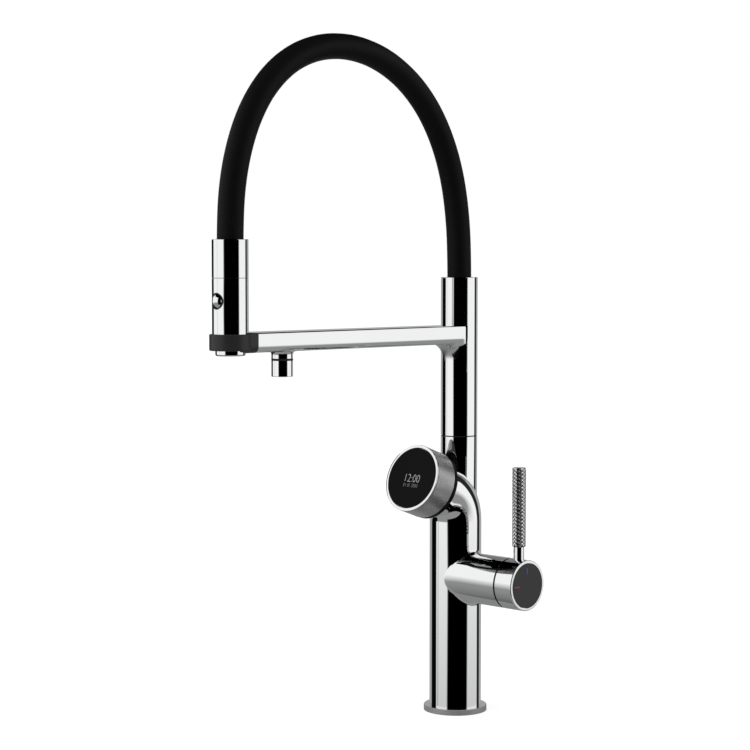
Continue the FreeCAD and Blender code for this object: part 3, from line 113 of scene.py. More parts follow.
class Value:
    """A number that changes over a surface: an output socket with arithmetic."""

    def __init__(self, tree: bpy.types.NodeTree, socket: bpy.types.NodeSocket) -> None:
        """Keeps the node tree and the socket that the number comes from."""
        self.tree = tree
        self.socket = socket

    def work(self, operation: str, first: "Value | float", second: "Value | float") -> "Value":
        """Adds one Math node.

        Args:
            operation: the Math node's operation.
            first: left side of the operation.
            second: right side of the operation.

        Returns:
            The node's result.
        """
        node = self.tree.nodes.new("ShaderNodeMath")
        node.operation = operation
        for place, term in zip(node.inputs, (first, second)):
            if isinstance(term, Value):
                self.tree.links.new(term.socket, place)
            else:
                place.default_value = term
        return Value(self.tree, node.outputs[0])

    def __add__(self, other: "Value | float") -> "Value":
        """This number plus another."""
        return self.work("ADD", self, other)

    def __radd__(self, other: float) -> "Value":
        """Another number plus this one."""
        return self.work("ADD", other, self)

    def __sub__(self, other: "Value | float") -> "Value":
        """This number less another."""
        return self.work("SUBTRACT", self, other)

    def __rsub__(self, other: float) -> "Value":
        """Another number less this one."""
        return self.work("SUBTRACT", other, self)

    def __mul__(self, other: "Value | float") -> "Value":
        """This number times another."""
        return self.work("MULTIPLY", self, other)

    def __rmul__(self, other: float) -> "Value":
        """Another number times this one."""
        return self.work("MULTIPLY", other, self)

    def __pow__(self, other: float) -> "Value":
        """This number to a power."""
        return self.work("POWER", self, other)

    def size(self) -> "Value":
        """This number without its sign."""
        return self.work("ABSOLUTE", self, 0.0)

    def at_least(self, least: float) -> "Value":
        """This number, or the least one where it would be smaller."""
        return self.work("MAXIMUM", self, least)

    def __gt__(self, other: float) -> "Value":
        """One where this number is the larger, and zero elsewhere."""
        return self.work("GREATER_THAN", self, other)


class Recipe:
    """The node tree of a material or of the world, filled node by node."""

    def __init__(self, tree: bpy.types.NodeTree) -> None:
        """Starts with an empty tree."""
        self.tree = tree
        tree.nodes.clear()

    def node(
        self,
        kind: str,
        settings: dict[str, Any] | None = None,
        inputs: dict[Any, Any] | None = None,
    ) -> bpy.types.Node:
        """Adds one node.

        Args:
            kind: the node's type.
            settings: its own settings, set first.
            inputs: values or links of its sockets, by name or place.

        Returns:
            The new node.
        """
        node = self.tree.nodes.new(kind)
        for name, value in (settings or {}).items():
            if name == "stops":
                self.set_stops(node, value)
            else:
                setattr(node, name, value)
        for key, value in (inputs or {}).items():
            source = value.socket if isinstance(value, Value) else value
            if isinstance(source, bpy.types.NodeSocket):
                self.tree.links.new(source, node.inputs[key])
            elif node.inputs[key].type == "RGBA":
                node.inputs[key].default_value = (*source, 1.0)
            else:
                node.inputs[key].default_value = source
        return node

    def set_stops(self, node: bpy.types.Node, stops: list[tuple[float, float]]) -> None:
        """Fills a ramp with grey stops.

        Args:
            node: the ramp's node.
            stops: the place of each stop, from zero to one, and its level.
        """
        points = node.color_ramp.elements
        points.remove(points[1])
        points[0].position = stops[0][0]
        points[0].color = (*grey(stops[0][1]), 1.0)
        for place, level in stops[1:]:
            points.new(place).color = (*grey(level), 1.0)

    def value(self, node: bpy.types.Node, output: Any = 0) -> Value:
        """One output of a node as a number."""
        return Value(self.tree, node.outputs[output])

    def spot(self, stretch: Triple = (1.0, 1.0, 1.0)) -> bpy.types.NodeSocket:
        """Object coordinates, stretched.

        Args:
            stretch: scale along each axis.

        Returns:
            The coordinates' socket.
        """
        where = self.node("ShaderNodeTexCoord")
        mapping = self.node(
            "ShaderNodeMapping", inputs={"Vector": where.outputs["Object"], "Scale": stretch}
        )
        return mapping.outputs[0]

    def height(self) -> Value:
        """The height of each spot in Object coordinates."""
        return self.value(self.node("ShaderNodeSeparateXYZ", inputs={0: self.spot()}), "Z")

    def attribute(self, name: str) -> Value:
        """A number that the mesh keeps at its corners."""
        return self.value(self.node("ShaderNodeAttribute", {"attribute_name": name}), "Fac")

    def noise(
        self, per_metre: float, detail: float = 2.0, stretch: Triple = (1.0, 1.0, 1.0)
    ) -> Value:
        """Soft noise from zero to one.

        Args:
            per_metre: how many patches lie in a metre.
            detail: how many finer layers are added.
            stretch: scale along each axis.

        Returns:
            The noise.
        """
        node = self.node(
            "ShaderNodeTexNoise",
            inputs={
                "Vector": self.spot(stretch),
                "Scale": per_metre,
                "Detail": detail,
                "Roughness": NOISE_FADE,
            },
        )
        return self.value(node)

    def tint(self, share: Value, low: Tone, high: Tone) -> bpy.types.NodeSocket:
        """A colour between two others.

        Args:
            share: zero for the first colour, one for the second.
            low: first colour.
            high: second colour.

        Returns:
            The colour's socket.
        """
        node = self.node(
            "ShaderNodeMix",
            {"data_type": "RGBA", "clamp_factor": True},
            {0: share, 6: low, 7: high},
        )
        return node.outputs[2]

    def bump(self, height: Value, depth: float, strength: float) -> bpy.types.NodeSocket:
        """A surface normal bent by small heights.

        Args:
            height: heights from zero to one.
            depth: how deep a height of one is, in metres.
            strength: share of the effect.

        Returns:
            The normal's socket.
        """
        node = self.node(
            "ShaderNodeBump", inputs={"Height": height, "Distance": depth, "Strength": strength}
        )
        return node.outputs[0]

    def blend(
        self, share: Value, first: bpy.types.Node, second: bpy.types.Node
    ) -> bpy.types.Node:
        """Mixes two shaders.

        Args:
            share: zero for the first shader, one for the second.
            first: node of the first shader.
            second: node of the second shader.

        Returns:
            The mixing node.
        """
        return self.node(
            "ShaderNodeMixShader", inputs={0: share, 1: first.outputs[0], 2: second.outputs[0]}
        )

    def surface(self, inputs: dict[str, Any]) -> None:
        """Ends a material in one Principled shader.

        Args:
            inputs: values or links of the shader's sockets.
        """
        shader = self.node("ShaderNodeBsdfPrincipled", inputs=inputs)
        self.node("ShaderNodeOutputMaterial", inputs={"Surface": shader.outputs[0]})


class Finish:
    """What every finish shares: a name, and a material that is made once."""

    name: str

    def fill(self, recipe: Recipe) -> None:
        """Fills the material's node tree."""
        raise NotImplementedError(self.name)

    def material(self) -> bpy.types.Material:
        """The finish as a material."""
        title = "dressed_" + self.name
        known = bpy.data.materials.get(title)
        if known is not None:
            return known
        made = bpy.data.materials.new(title)
        made.use_nodes = True
        self.fill(Recipe(made.node_tree))
        return made


@dataclass(frozen=True)
class PolishedChrome(Finish):
    """Mirror chrome plate with the faint haze that hands and water leave."""

    name: str = "polished_chrome"
    colour: Colour = (0.88, 0.885, 0.89)
    haze_colour: Colour = (0.83, 0.835, 0.84)
    roughness: float = 0.01
    haze: float = 0.02
    patches: float = 14.0
    patch_layers: float = 1.0
    patch_contrast: float = 2.0
    corner: Triple = (0.0, -16.0 * MM, 324.0 * MM)
    corner_reach: float = 17.0 * MM
    corner_dull: float = 0.55

    def fill(self, recipe: Recipe) -> None:
        """Mirror metal that drifts a little, duller in the inner corner where polishing is hard."""
        haze = recipe.noise(self.patches, self.patch_layers) ** self.patch_contrast
        away = recipe.node(
            "ShaderNodeVectorMath", {"operation": "DISTANCE"}, {0: recipe.spot(), 1: self.corner}
        )
        corner = (1.0 - recipe.value(away, "Value") * (1.0 / self.corner_reach)).at_least(0.0)
        recipe.surface(
            {
                "Base Color": recipe.tint(haze, self.colour, self.haze_colour),
                "Metallic": 1.0,
                "Roughness": self.roughness + self.haze * haze + self.corner_dull * corner,
            }
        )


@dataclass(frozen=True)
class SatinChrome(Finish):
    """Chrome plate of the flange: a fine blasted grain round the rim, and a mirror on top."""

    name: str = "satin_chrome"
    colour: Colour = (0.44, 0.44, 0.445)
    second: Colour = (0.38, 0.38, 0.385)
    metallic: float = 0.4
    roughness: float = 0.5
    drift: float = 0.1
    grain: float = 2400.0
    grain_depth: float = 0.005 * MM
    grain_strength: float = 0.5
    top: float = 4.95 * MM
    top_colour: Colour = (0.74, 0.74, 0.745)
    top_roughness: float = 0.05

    def fill(self, recipe: Recipe) -> None:
        """A grain that bends the light up to the edge of the top, and none on it."""
        grain = recipe.noise(self.grain)
        polish = recipe.height() > self.top
        plain = 1.0 - polish
        blasted = recipe.tint(grain, self.colour, self.second)
        rough = self.roughness + self.drift * grain
        recipe.surface(
            {
                "Base Color": recipe.tint(polish, blasted, self.top_colour),
                "Metallic": self.metallic + (1.0 - self.metallic) * polish,
                "Roughness": rough * plain + self.top_roughness * polish,
                "Normal": recipe.bump(grain * plain, self.grain_depth, self.grain_strength),
            }
        )


@dataclass(frozen=True)
class KnurledSteel(Finish):
    """Satin steel whose rolled diamonds keep the steel's colour at the tips, with painted shade dark
    in the grooves.
    """

    name: str = "knurled_steel"
    tip_colour: Colour = (0.88, 0.88, 0.88)
    # Painted shade: the colour of the grooves, where shade falls between the diamonds
    groove_painted_shade: Colour = (0.1, 0.1, 0.1)
    roughness: float = 0.14
    wear: float = 0.1
    slope: float = 0.7
    scratches: float = 900.0
    scratch_layers: float = 3.0
    scratch_depth: float = 0.01 * MM
    scratch_strength: float = 0.4

    def fill(self, recipe: Recipe) -> None:
        """Painted shade by the depth in the knurl, darkest in the grooves, with fine scratches."""
        # How much of the painted groove shade is lifted, from none in the grooves to all on the tips
        tip = recipe.attribute(KNURL_TIP) ** self.slope
        scratch = recipe.noise(self.scratches, self.scratch_layers)
        recipe.surface(
            {
                "Base Color": recipe.tint(tip, self.groove_painted_shade, self.tip_colour),
                "Metallic": 1.0,
                "Roughness": self.roughness + self.wear * scratch,
                "Normal": recipe.bump(scratch, self.scratch_depth, self.scratch_strength),
            }
        )


@dataclass(frozen=True)
class Skin(Finish):
    """A soft or moulded surface: two near tones, a matt sheen and a fine grain."""

    name: str
    colour: Colour
    second: Colour
    roughness: float
    drift: float
    patches: float
    grain: float
    grain_depth: float
    specular: float = 0.5
    patch_layers: float = 3.0
    patch_share: float = 0.6
    grain_share: float = 0.4
    grain_strength: float = 0.7

    def fill(self, recipe: Recipe) -> None:
        """Slow tone drift, and a grain that bends the light."""
        slow = recipe.noise(self.patches, self.patch_layers)
        fine = recipe.noise(self.grain)
        tone = slow * self.patch_share + fine * self.grain_share
        recipe.surface(
            {
                "Base Color": recipe.tint(tone, self.colour, self.second),
                "Roughness": self.roughness + self.drift * slow,
                "Specular IOR Level": self.specular,
                "Normal": recipe.bump(fine, self.grain_depth, self.grain_strength),
            }
        )


@dataclass(frozen=True)
class TurnedMetal(Finish):
    """Bare metal with the fine rings that turning leaves along its axis."""

    name: str
    colour: Colour
    second: Colour
    roughness: float
    rings: float = 1500.0
    ring_shape: Triple = (0.02, 0.02, 1.0)
    ring_roughness: float = 0.12
    ring_depth: float = 0.008 * MM
    ring_strength: float = 0.5
    stains: float = 120.0
    stain_layers: float = 3.0

    def fill(self, recipe: Recipe) -> None:
        """Tool marks as noise pressed flat across the height."""
        marks = recipe.noise(self.rings, stretch=self.ring_shape)
        stain = recipe.noise(self.stains, self.stain_layers)
        recipe.surface(
            {
                "Base Color": recipe.tint(stain, self.colour, self.second),
                "Metallic": 1.0,
                "Roughness": self.roughness + self.ring_roughness * marks,
                "Normal": recipe.bump(marks, self.ring_depth, self.ring_strength),
            }
        )


@dataclass(frozen=True)
class DisplayGlass(Finish):
    """Black display glass, clear on top."""

    name: str = "display_glass"
    colour: Colour = (0.0025, 0.0025, 0.0027)
    second: Colour = (0.004, 0.004, 0.0043)
    roughness: float = 0.2
    specular: float = 0.06
    wipes: float = 70.0
    wipe_layers: float = 3.0
    wipe_shape: Triple = (1.0, 1.0, 0.3)
    wipe_roughness: float = 0.1

    def fill(self, recipe: Recipe) -> None:
        """Deep black with a faint haze of wiping."""
        wipe = recipe.noise(self.wipes, self.wipe_layers, self.wipe_shape)
        recipe.surface(
            {
                "Base Color": recipe.tint(wipe, self.colour, self.second),
                "Roughness": self.roughness + self.wipe_roughness * wipe,
                "Specular IOR Level": self.specular,
            }
        )


@dataclass(frozen=True)
class CircuitBoard(Finish):
    """Green lacquered board with copper tracks under the lacquer."""

    name: str = "circuit_board"
    lacquer: Colour = (0.012, 0.09, 0.035)
    track: Colour = (0.03, 0.16, 0.06)
    tracks: float = 420.0
    track_stray: float = 0.35
    track_edge: float = 0.42
    track_depth: float = 0.03 * MM
    track_strength: float = 0.6
    roughness: float = 0.35
    wear: float = 0.1
    wear_patches: float = 300.0

    def fill(self, recipe: Recipe) -> None:
        """Tracks as a cell pattern that lifts the lacquer a little."""
        cells = recipe.node(
            "ShaderNodeTexVoronoi",
            {"feature": "F1", "distance": "CHEBYCHEV"},
            {"Vector": recipe.spot(), "Scale": self.tracks, "Randomness": self.track_stray},
        )
        track = recipe.value(cells, "Distance") > self.track_edge
        recipe.surface(
            {
                "Base Color": recipe.tint(track, self.lacquer, self.track),
                "Roughness": self.roughness + self.wear * recipe.noise(self.wear_patches),
                "Normal": recipe.bump(track, self.track_depth, self.track_strength),
            }
        )


@dataclass(frozen=True)
class LitDigits(Finish):
    """Pale digits that shine through the display glass."""

    name: str = "lit_digits"
    colour: Colour = (0.62, 0.63, 0.64)
    edge: Colour = (0.42, 0.43, 0.44)
    unlit: Colour = (0.02, 0.02, 0.02)
    roughness: float = 0.4
    pixels: float = 2600.0
    pixel_layers: float = 1.0

    def fill(self, recipe: Recipe) -> None:
        """An even glow with the slight unevenness of small pixels."""
        pixel = recipe.noise(self.pixels, self.pixel_layers)
        recipe.surface(
            {
                "Base Color": self.unlit,
                "Roughness": self.roughness,
                "Emission Color": recipe.tint(pixel, self.edge, self.colour),
                "Emission Strength": 1.0,
            }
        )


FINISHES: dict[Slot, Finish] = {
    Slot.CHROME: PolishedChrome(),
    Slot.SATIN_CHROME: SatinChrome(),
    Slot.KNURL: KnurledSteel(),
    Slot.SILICONE: Skin(
        "black_silicone", grey(0.0035), grey(0.006),
        roughness=0.5, drift=0.12, patches=35.0, grain=2600.0, grain_depth=0.02 * MM, specular=0.12,
    ),
    Slot.RUBBER: Skin(
        "black_rubber", grey(0.012), grey(0.02),
        roughness=0.6, drift=0.15, patches=60.0, grain=1800.0, grain_depth=0.03 * MM,
    ),
    Slot.DARK_SATIN: Skin(
        "dark_satin_plastic", grey(0.022), grey(0.032),
        roughness=0.36, drift=0.1, patches=50.0, grain=3000.0, grain_depth=0.012 * MM, specular=0.3,
    ),
    Slot.DISC: Skin(
        "dark_disc", grey(0.030), grey(0.038),
        roughness=0.42, drift=0.1, patches=60.0, grain=2800.0, grain_depth=0.008 * MM, specular=0.4,
    ),
    Slot.BLACK: Skin(
        "black_plastic", grey(0.005), grey(0.008),
        roughness=0.45, drift=0.1, patches=60.0, grain=2200.0, grain_depth=0.015 * MM, specular=0.1,
    ),
    Slot.MOULDED: Skin(
        "moulded_plastic", grey(0.45), grey(0.52),
        roughness=0.42, drift=0.1, patches=60.0, grain=1800.0, grain_depth=0.02 * MM,
    ),
    Slot.BRASS: TurnedMetal("brass", (0.78, 0.57, 0.25), (0.70, 0.48, 0.20), 0.26),
    Slot.STEEL: TurnedMetal("plain_steel", (0.62, 0.62, 0.61), (0.52, 0.52, 0.51), 0.3),
    Slot.GLASS: DisplayGlass(),
    Slot.BOARD: CircuitBoard(),
    Slot.COLD: Skin(
        "blue_mark", (0.03, 0.10, 0.36), (0.04, 0.13, 0.42),
        roughness=0.4, drift=0.1, patches=200.0, grain=3000.0, grain_depth=0.01 * MM,
    ),
    Slot.HOT: Skin(
        "red_mark", (0.42, 0.03, 0.025), (0.50, 0.04, 0.03),
        roughness=0.4, drift=0.1, patches=200.0, grain=3000.0, grain_depth=0.01 * MM,
    ),
}


def piece_from(
    bm: bmesh.types.BMesh, name: str, finish: Finish, smooth: bool = False
) -> bpy.types.Object:
    """Turns a finished bmesh into an object of the scene.

    Args:
        bm: the mesh in work, which is freed.
        name: name of the object.
        finish: its finish.
        smooth: whether its curved faces are shaded as one.

    Returns:
        The object, at the origin.
    """
    mesh = bpy.data.meshes.new(name)
    bm.to_mesh(mesh)
    bm.free()
    if smooth:
        mesh.shade_smooth()
        mesh.set_sharp_from_angle(angle=SHARP_EDGE)
    mesh.materials.append(finish.material())
    piece = bpy.data.objects.new(name, mesh)
    bpy.context.scene.collection.objects.link(piece)
    return piece


def spun_profile(
    corners: Iterable[tuple[float, float]], steps: int, closed: bool
) -> bmesh.types.BMesh:
    """Spins an outline of radius and height once round the Z axis.

    Args:
        corners: radius and height of each corner, in millimetres.
        steps: how many steps make a turn.
        closed: whether the last corner joins the first, as in a ring's section.

    Returns:
        The spun mesh, merged, with its faces pointing outwards.
    """
    bm = bmesh.new()
    spots = [bm.verts.new((radius * MM, 0.0, height * MM)) for radius, height in corners]
    pairs = list(zip(spots, spots[1:]))
    if closed:
        pairs.append((spots[-1], spots[0]))
    for first, second in pairs:
        bm.edges.new((first, second))
    bmesh.ops.spin(
        bm, geom=bm.verts[:] + bm.edges[:], cent=(0, 0, 0), axis=(0, 0, 1), dvec=(0, 0, 0),
        angle=2.0 * math.pi, steps=steps, use_merge=True, use_duplicate=False,
    )
    bmesh.ops.remove_doubles(bm, verts=bm.verts[:], dist=MERGE_SPOT)
    bmesh.ops.recalc_face_normals(bm, faces=bm.faces[:])
    return bm


@dataclass(frozen=True)
class DialAxis:
    """The leaning axis of the dial, and where things lie on it, in millimetres."""

    height: float = 191.2
    tilt: float = 20.0

    def frame(self, along: float) -> Matrix:
        """The place of a face on the dial: X to the right, Y up the face, Z out of it.

        Args:
            along: distance from the body's axis.

        Returns:
            The place as a matrix in metres.
        """
        lean = math.radians(90.0 - self.tilt)
        rise = Matrix.Translation((0.0, 0.0, self.height * MM))
        return rise @ Matrix.Rotation(lean, 4, "X") @ Matrix.Translation((0.0, 0.0, along * MM))


@dataclass(frozen=True)
class Knurl:
    """A diamond knurl.

    It has a number of cells round and along, and the height and groove of a diamond in millimetres.
    """

    around: int
    rows: int
    depth: float
    groove: float

    def roll(self, bm: bmesh.types.BMesh, radius: float, low: float, high: float) -> None:
        """Presses the diamonds into a plain band round the Z axis.

        Args:
            bm: mesh that holds the band as long upright faces.
            radius: radius of the band, in millimetres.
            low: lower end of the band.
            high: upper end of the band.
        """
        layer = bm.verts.layers.float.new(KNURL_TIP)
        length = (high - low) * MM

        def on_round(vert: bmesh.types.BMVert) -> bool:
            """Whether a corner lies on the band's round."""
            return abs(vert.co.xy.length - radius * MM) < SAME_SPOT

        band = [
            edge for edge in bm.edges
            if abs(abs(edge.verts[0].co.z - edge.verts[1].co.z) - length) < SAME_SPOT
            and all(on_round(vert) for vert in edge.verts)
        ]
        bmesh.ops.subdivide_edges(bm, edges=band, cuts=self.rows - 1, use_grid_fill=False)
        cells = [
            face for face in bm.faces
            if all(on_round(vert) for vert in face.verts)
            and low * MM < face.calc_center_median().z < high * MM
        ]
        inside = set(cells)
        grid = {
            edge for face in cells for edge in face.edges
            if all(link in inside for link in edge.link_faces)
        }
        centres = set(bmesh.ops.poke(bm, faces=cells)["verts"])
        for vert in centres:
            vert.co.xy *= radius * MM / vert.co.xy.length
        bmesh.ops.dissolve_edges(bm, edges=list(grid), use_verts=False)
        diamonds = [face for face in bm.faces if len(face.verts) == 4 and centres & set(face.verts)]
        bmesh.ops.inset_individual(
            bm, faces=diamonds, thickness=self.groove * MM, depth=self.depth * MM,
            use_even_offset=True,
        )
        # Zero in the grooves and one elsewhere: the mask that the knurled finish paints shade with
        for vert in bm.verts:
            in_groove = low * MM < vert.co.z < high * MM and on_round(vert)
            vert[layer] = 0.0 if in_groove else 1.0


@dataclass(frozen=True)
class DialRing:
    """The turning ring of the dial, knurled round its side up to the rim."""

    axis: DialAxis
    back: float = 36.2
    front: float = 57.2
    skirt_front: float = 58.9
    skirt_bore: float = 28.9
    radius: float = 29.8
    bore: float = 21.2
    well: float = 23.4
    well_floor: float = 49.3
    edge: float = 0.6
    lip: float = 0.2
    knurl: Knurl = Knurl(112, 13, 0.2, 0.19)
    # The dial's knurl carries the same painted shade in its grooves
    finish: Finish = KnurledSteel("knurled_dial", roughness=0.26)

    def build(self) -> bpy.types.Object:
        """Spins the ring's section, rolls the knurl and sets the ring on its axis."""
        root = self.radius - self.knurl.depth
        low, high = self.back + self.edge, self.skirt_front - self.lip
        section = [
            (self.bore, self.back), (root - self.edge, self.back), (root, low), (root, high),
            (root - self.lip, self.skirt_front), (self.skirt_bore, self.skirt_front),
            (self.skirt_bore, self.front), (self.well, self.front),
            (self.well, self.well_floor), (self.bore, self.well_floor),
        ]
        bm = spun_profile(section, self.knurl.around, True)
        self.knurl.roll(bm, root, low, high)
        bmesh.ops.transform(bm, matrix=self.axis.frame(0.0), verts=bm.verts[:])
        ring = piece_from(bm, "knurled_dial_ring", self.finish)
        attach(ring, Body.DIAL.value)
        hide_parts("dial_ring")
        return ring


@dataclass(frozen=True)
class DialRim:
    """The polished rim round the display, a thin bright edge in front of the knurl."""

    axis: DialAxis
    back: float = 57.2
    step: float = 58.95
    front: float = 59.8
    bore: float = 27.1
    step_radius: float = 28.85
    radius: float = 29.75
    rounding: float = 0.35
    rounding_steps: int = 4
    steps: int = 128

    def build(self) -> bpy.types.Object:
        """Spins the rim's stepped section and rounds its two front edges."""
        section = [
            (self.bore, self.back), (self.step_radius, self.back), (self.step_radius, self.step),
            (self.radius, self.step), (self.radius, self.front), (self.bore, self.front),
        ]
        bm = spun_profile(section, self.steps, True)
        level = self.front * MM - SAME_SPOT
        edges = [edge for edge in bm.edges if all(vert.co.z > level for vert in edge.verts)]
        hoops = [
            edge for edge in edges
            if abs(edge.verts[0].co.xy.length - edge.verts[1].co.xy.length) < SAME_SPOT
        ]
        bmesh.ops.bevel(
            bm, geom=hoops, offset=self.rounding * MM, affect="EDGES",
            segments=self.rounding_steps, profile=0.5, material=-1,
        )
        bmesh.ops.transform(bm, matrix=self.axis.frame(0.0), verts=bm.verts[:])
        rim = piece_from(bm, "polished_dial_rim", FINISHES[Slot.CHROME], True)
        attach(rim, Body.DIAL.value)
        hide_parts("dial_bezel")
        return rim


@dataclass(frozen=True)
class LeverGrip:
    """The knurled grip of the lever, tapered to its neck."""

    reach: float = 74.3
    bottom: float = 153.23
    top: float = 221.93
    radius: float = 6.0
    neck_radius: float = 4.65
    taper: float = 0.5
    edge: float = 0.3
    knurl: Knurl = Knurl(10, 21, 0.4, 0.36)

    def build(self) -> bpy.types.Object:
        """Spins the grip's outline, rolls the knurl and stands the grip on its neck."""
        root = self.radius - self.knurl.depth
        low, high = self.bottom + self.taper, self.top - self.edge
        outline = [
            (0.0, self.bottom), (self.neck_radius, self.bottom), (root, low), (root, high),
            (root - self.edge, self.top), (0.0, self.top),
        ]
        bm = spun_profile(outline, self.knurl.around, False)
        self.knurl.roll(bm, root, low, high)
        bmesh.ops.translate(bm, vec=(self.reach * MM, 0.0, 0.0), verts=bm.verts[:])
        grip = piece_from(bm, "knurled_lever_grip", FINISHES[Slot.KNURL])
        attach(grip, Body.LEVER.value)
        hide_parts("lever_grip")
        return grip


@dataclass(frozen=True)
class DisplayFace:
    """What shines on the round display: a time, and a small date under it, in plain digits."""

    axis: DialAxis
    glass_front: float = 59.3
    lift: float = 0.06
    clock: str = "12:00"
    clock_height: float = 10.2
    clock_drop: float = 0.6
    clock_finish: Finish = LitDigits()
    date: str = "01 01 2000"
    date_height: float = 4.4
    date_drop: float = 6.8
    date_finish: Finish = LitDigits("lit_date", grey(0.36), grey(0.24))
    narrow: float = 0.85
    thin: float = 0.026

    def build_row(
        self, name: str, words: str, height: float, drop: float, finish: Finish
    ) -> bpy.types.Object:
        """Sets one row of digits as flat mesh on the glass.

        Args:
            name: name of the object.
            words: the digits.
            height: size of the digits, in millimetres.
            drop: how far the row lies below the middle of the glass.
            finish: its finish.

        Returns:
            The row, riding on the display.
        """
        curve = bpy.data.curves.new(name + "_text", "FONT")
        curve.body = words
        curve.align_x = "CENTER"
        curve.align_y = "CENTER"
        curve.offset = -self.thin
        text = bpy.data.objects.new(name + "_text", curve)
        mesh = bpy.data.meshes.new_from_object(text)
        mesh.name = name
        bpy.data.objects.remove(text)
        size = height * MM
        shape = Matrix.Diagonal((size * self.narrow, size, size, 1.0))
        down = Matrix.Translation((0.0, -drop * MM, 0.0))
        mesh.transform(self.axis.frame(self.glass_front + self.lift) @ down @ shape)
        mesh.materials.clear()
        mesh.materials.append(finish.material())
        row = bpy.data.objects.new(name, mesh)
        bpy.context.scene.collection.objects.link(row)
        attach(row, Body.DISPLAY.value)
        return row

    def build_clock(self) -> bpy.types.Object:
        """The time, across the middle of the glass."""
        return self.build_row(
            "display_clock", self.clock, self.clock_height, self.clock_drop, self.clock_finish
        )

    def build_date(self) -> bpy.types.Object:
        """The date, small and dim under the time."""
        return self.build_row(
            "display_date", self.date, self.date_height, self.date_drop, self.date_finish
        )


@dataclass(frozen=True)
class SealLine:
    """A dark seal that shows as a line round an upright tube, in millimetres."""

    name: str
    body: Body
    reach: float
    level: float
    radius: float
    bore: float
    thick: float
    stands_for: str = ""
    steps: int = 96

    def build(self) -> bpy.types.Object:
        """Spins the seal's square section and sets it on the tube's axis."""
        low, high = self.level - self.thick / 2.0, self.level + self.thick / 2.0
        section = [(self.bore, low), (self.radius, low), (self.radius, high), (self.bore, high)]
        bm = spun_profile(section, self.steps, True)
        bmesh.ops.translate(bm, vec=(0.0, -self.reach * MM, 0.0), verts=bm.verts[:])
        line = piece_from(bm, self.name, FINISHES[Slot.RUBBER], True)
        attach(line, self.body.value)
        if self.stands_for:
            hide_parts(self.stands_for)
        return line


@dataclass(frozen=True)
class SprayButton:
    """The domed push button of the spray, measured from the spray's axis along its own."""

    reach: float = 262.55
    level: float = 367.9
    stem_end: float = 3.0
    stem_radius: float = 2.5
    back: float = 13.5
    rim: float = 14.3
    face: float = 16.9
    radius: float = 5.5
    dome_steps: int = 14
    steps: int = 64

    def build(self) -> bpy.types.Object:
        """Spins stem, rim and dome, and turns the button to the front of the spray."""
        rise = self.face - self.rim
        ball = (self.radius ** 2 + rise ** 2) / (2.0 * rise)
        slope = math.asin(self.radius / ball)
        outline = [
            (0.0, self.stem_end), (self.stem_radius, self.stem_end),
            (self.stem_radius, self.back), (self.radius, self.back),
        ]
        for step in range(self.dome_steps + 1):
            lean = slope * (1.0 - step / self.dome_steps)
            outline.append((ball * math.sin(lean), self.face - ball + ball * math.cos(lean)))
        bm = spun_profile(outline, self.steps, False)
        forward = Matrix.Rotation(math.radians(90.0), 4, "X")
        place = Matrix.Translation((0.0, -self.reach * MM, self.level * MM))
        bmesh.ops.transform(bm, matrix=place @ forward, verts=bm.verts[:])
        button = piece_from(bm, "domed_spray_button", FINISHES[Slot.CHROME], True)
        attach(button, Body.BUTTON.value)
        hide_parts("spray_button")
        return button


@dataclass(frozen=True)
class HoseArch:
    """The black hose from the column's sleeve over to the spray, in millimetres.

    Each point of the route is a distance in front of the column and a height.
    """

    route: tuple[tuple[float, float], ...] = (
        (0.0, 368.4), (0.0, 404.4), (2.7, 440.4), (9.7, 474.3), (22.6, 505.6), (41.5, 532.7),
        (65.8, 553.9), (94.9, 568.9), (126.4, 576.4), (157.3, 576.4), (185.3, 569.7),
        (210.0, 556.8), (231.0, 537.7), (247.1, 513.9), (258.5, 485.6), (264.9, 455.7),
        (266.8, 424.4), (266.8, 398.55),
    )
    route_order: int = 3
    route_steps: int = 10
    section_steps: int = 12
    column_back: float = 4.25
    diameter: float = 21.2
    length: float = 532.4
    bend_start: float = 4.0
    bend_end: float = 263.0
    bend_height: float = 450.0

    def spot(self, forward: float, height: float) -> Vector:
        """A point of the arm's plane in metres."""
        return Vector((0.0, (self.column_back - forward) * MM, height * MM))

    def curve(self, thick: bool) -> bpy.types.Object:
        """The route as a smooth curve.

        Args:
            thick: whether the curve carries the hose's round section.

        Returns:
            A curve object that isn't in the scene.
        """
        data = bpy.data.curves.new("hose_route", "CURVE")
        data.dimensions = "3D"
        data.resolution_u = self.route_steps
        spline = data.splines.new("NURBS")
        spline.points.add(len(self.route) - 1)
        for point, (forward, height) in zip(spline.points, self.route):
            point.co = (*self.spot(forward, height), 1.0)
        spline.order_u = self.route_order
        spline.use_endpoint_u = True
        if thick:
            data.bevel_depth = self.diameter * MM / 2.0
            data.bevel_resolution = self.section_steps
            data.use_fill_caps = True
        return bpy.data.objects.new("hose_route", data)

    def build(self) -> bpy.types.Object:
        """Makes the hose a tube along the route."""
        bare, thick = self.curve(False), self.curve(True)
        line = bpy.data.meshes.new_from_object(bare)
        mesh = bpy.data.meshes.new_from_object(thick)
        mesh.name = "hose_arch"
        for extra in (bare, thick):
            bpy.data.objects.remove(extra)
        bpy.data.meshes.remove(line)
        mesh.materials.clear()
        mesh.materials.append(FINISHES[Slot.SILICONE].material())
        mesh.shade_smooth()
        hose = bpy.data.objects.new("hose_arch", mesh)
        bpy.context.scene.collection.objects.link(hose)
        self.spot(self.bend_start, self.bend_height)
        self.spot(self.bend_end, self.bend_height)
        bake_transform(hose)
        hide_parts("hose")
        self.spot(*self.route[0])
        return hose


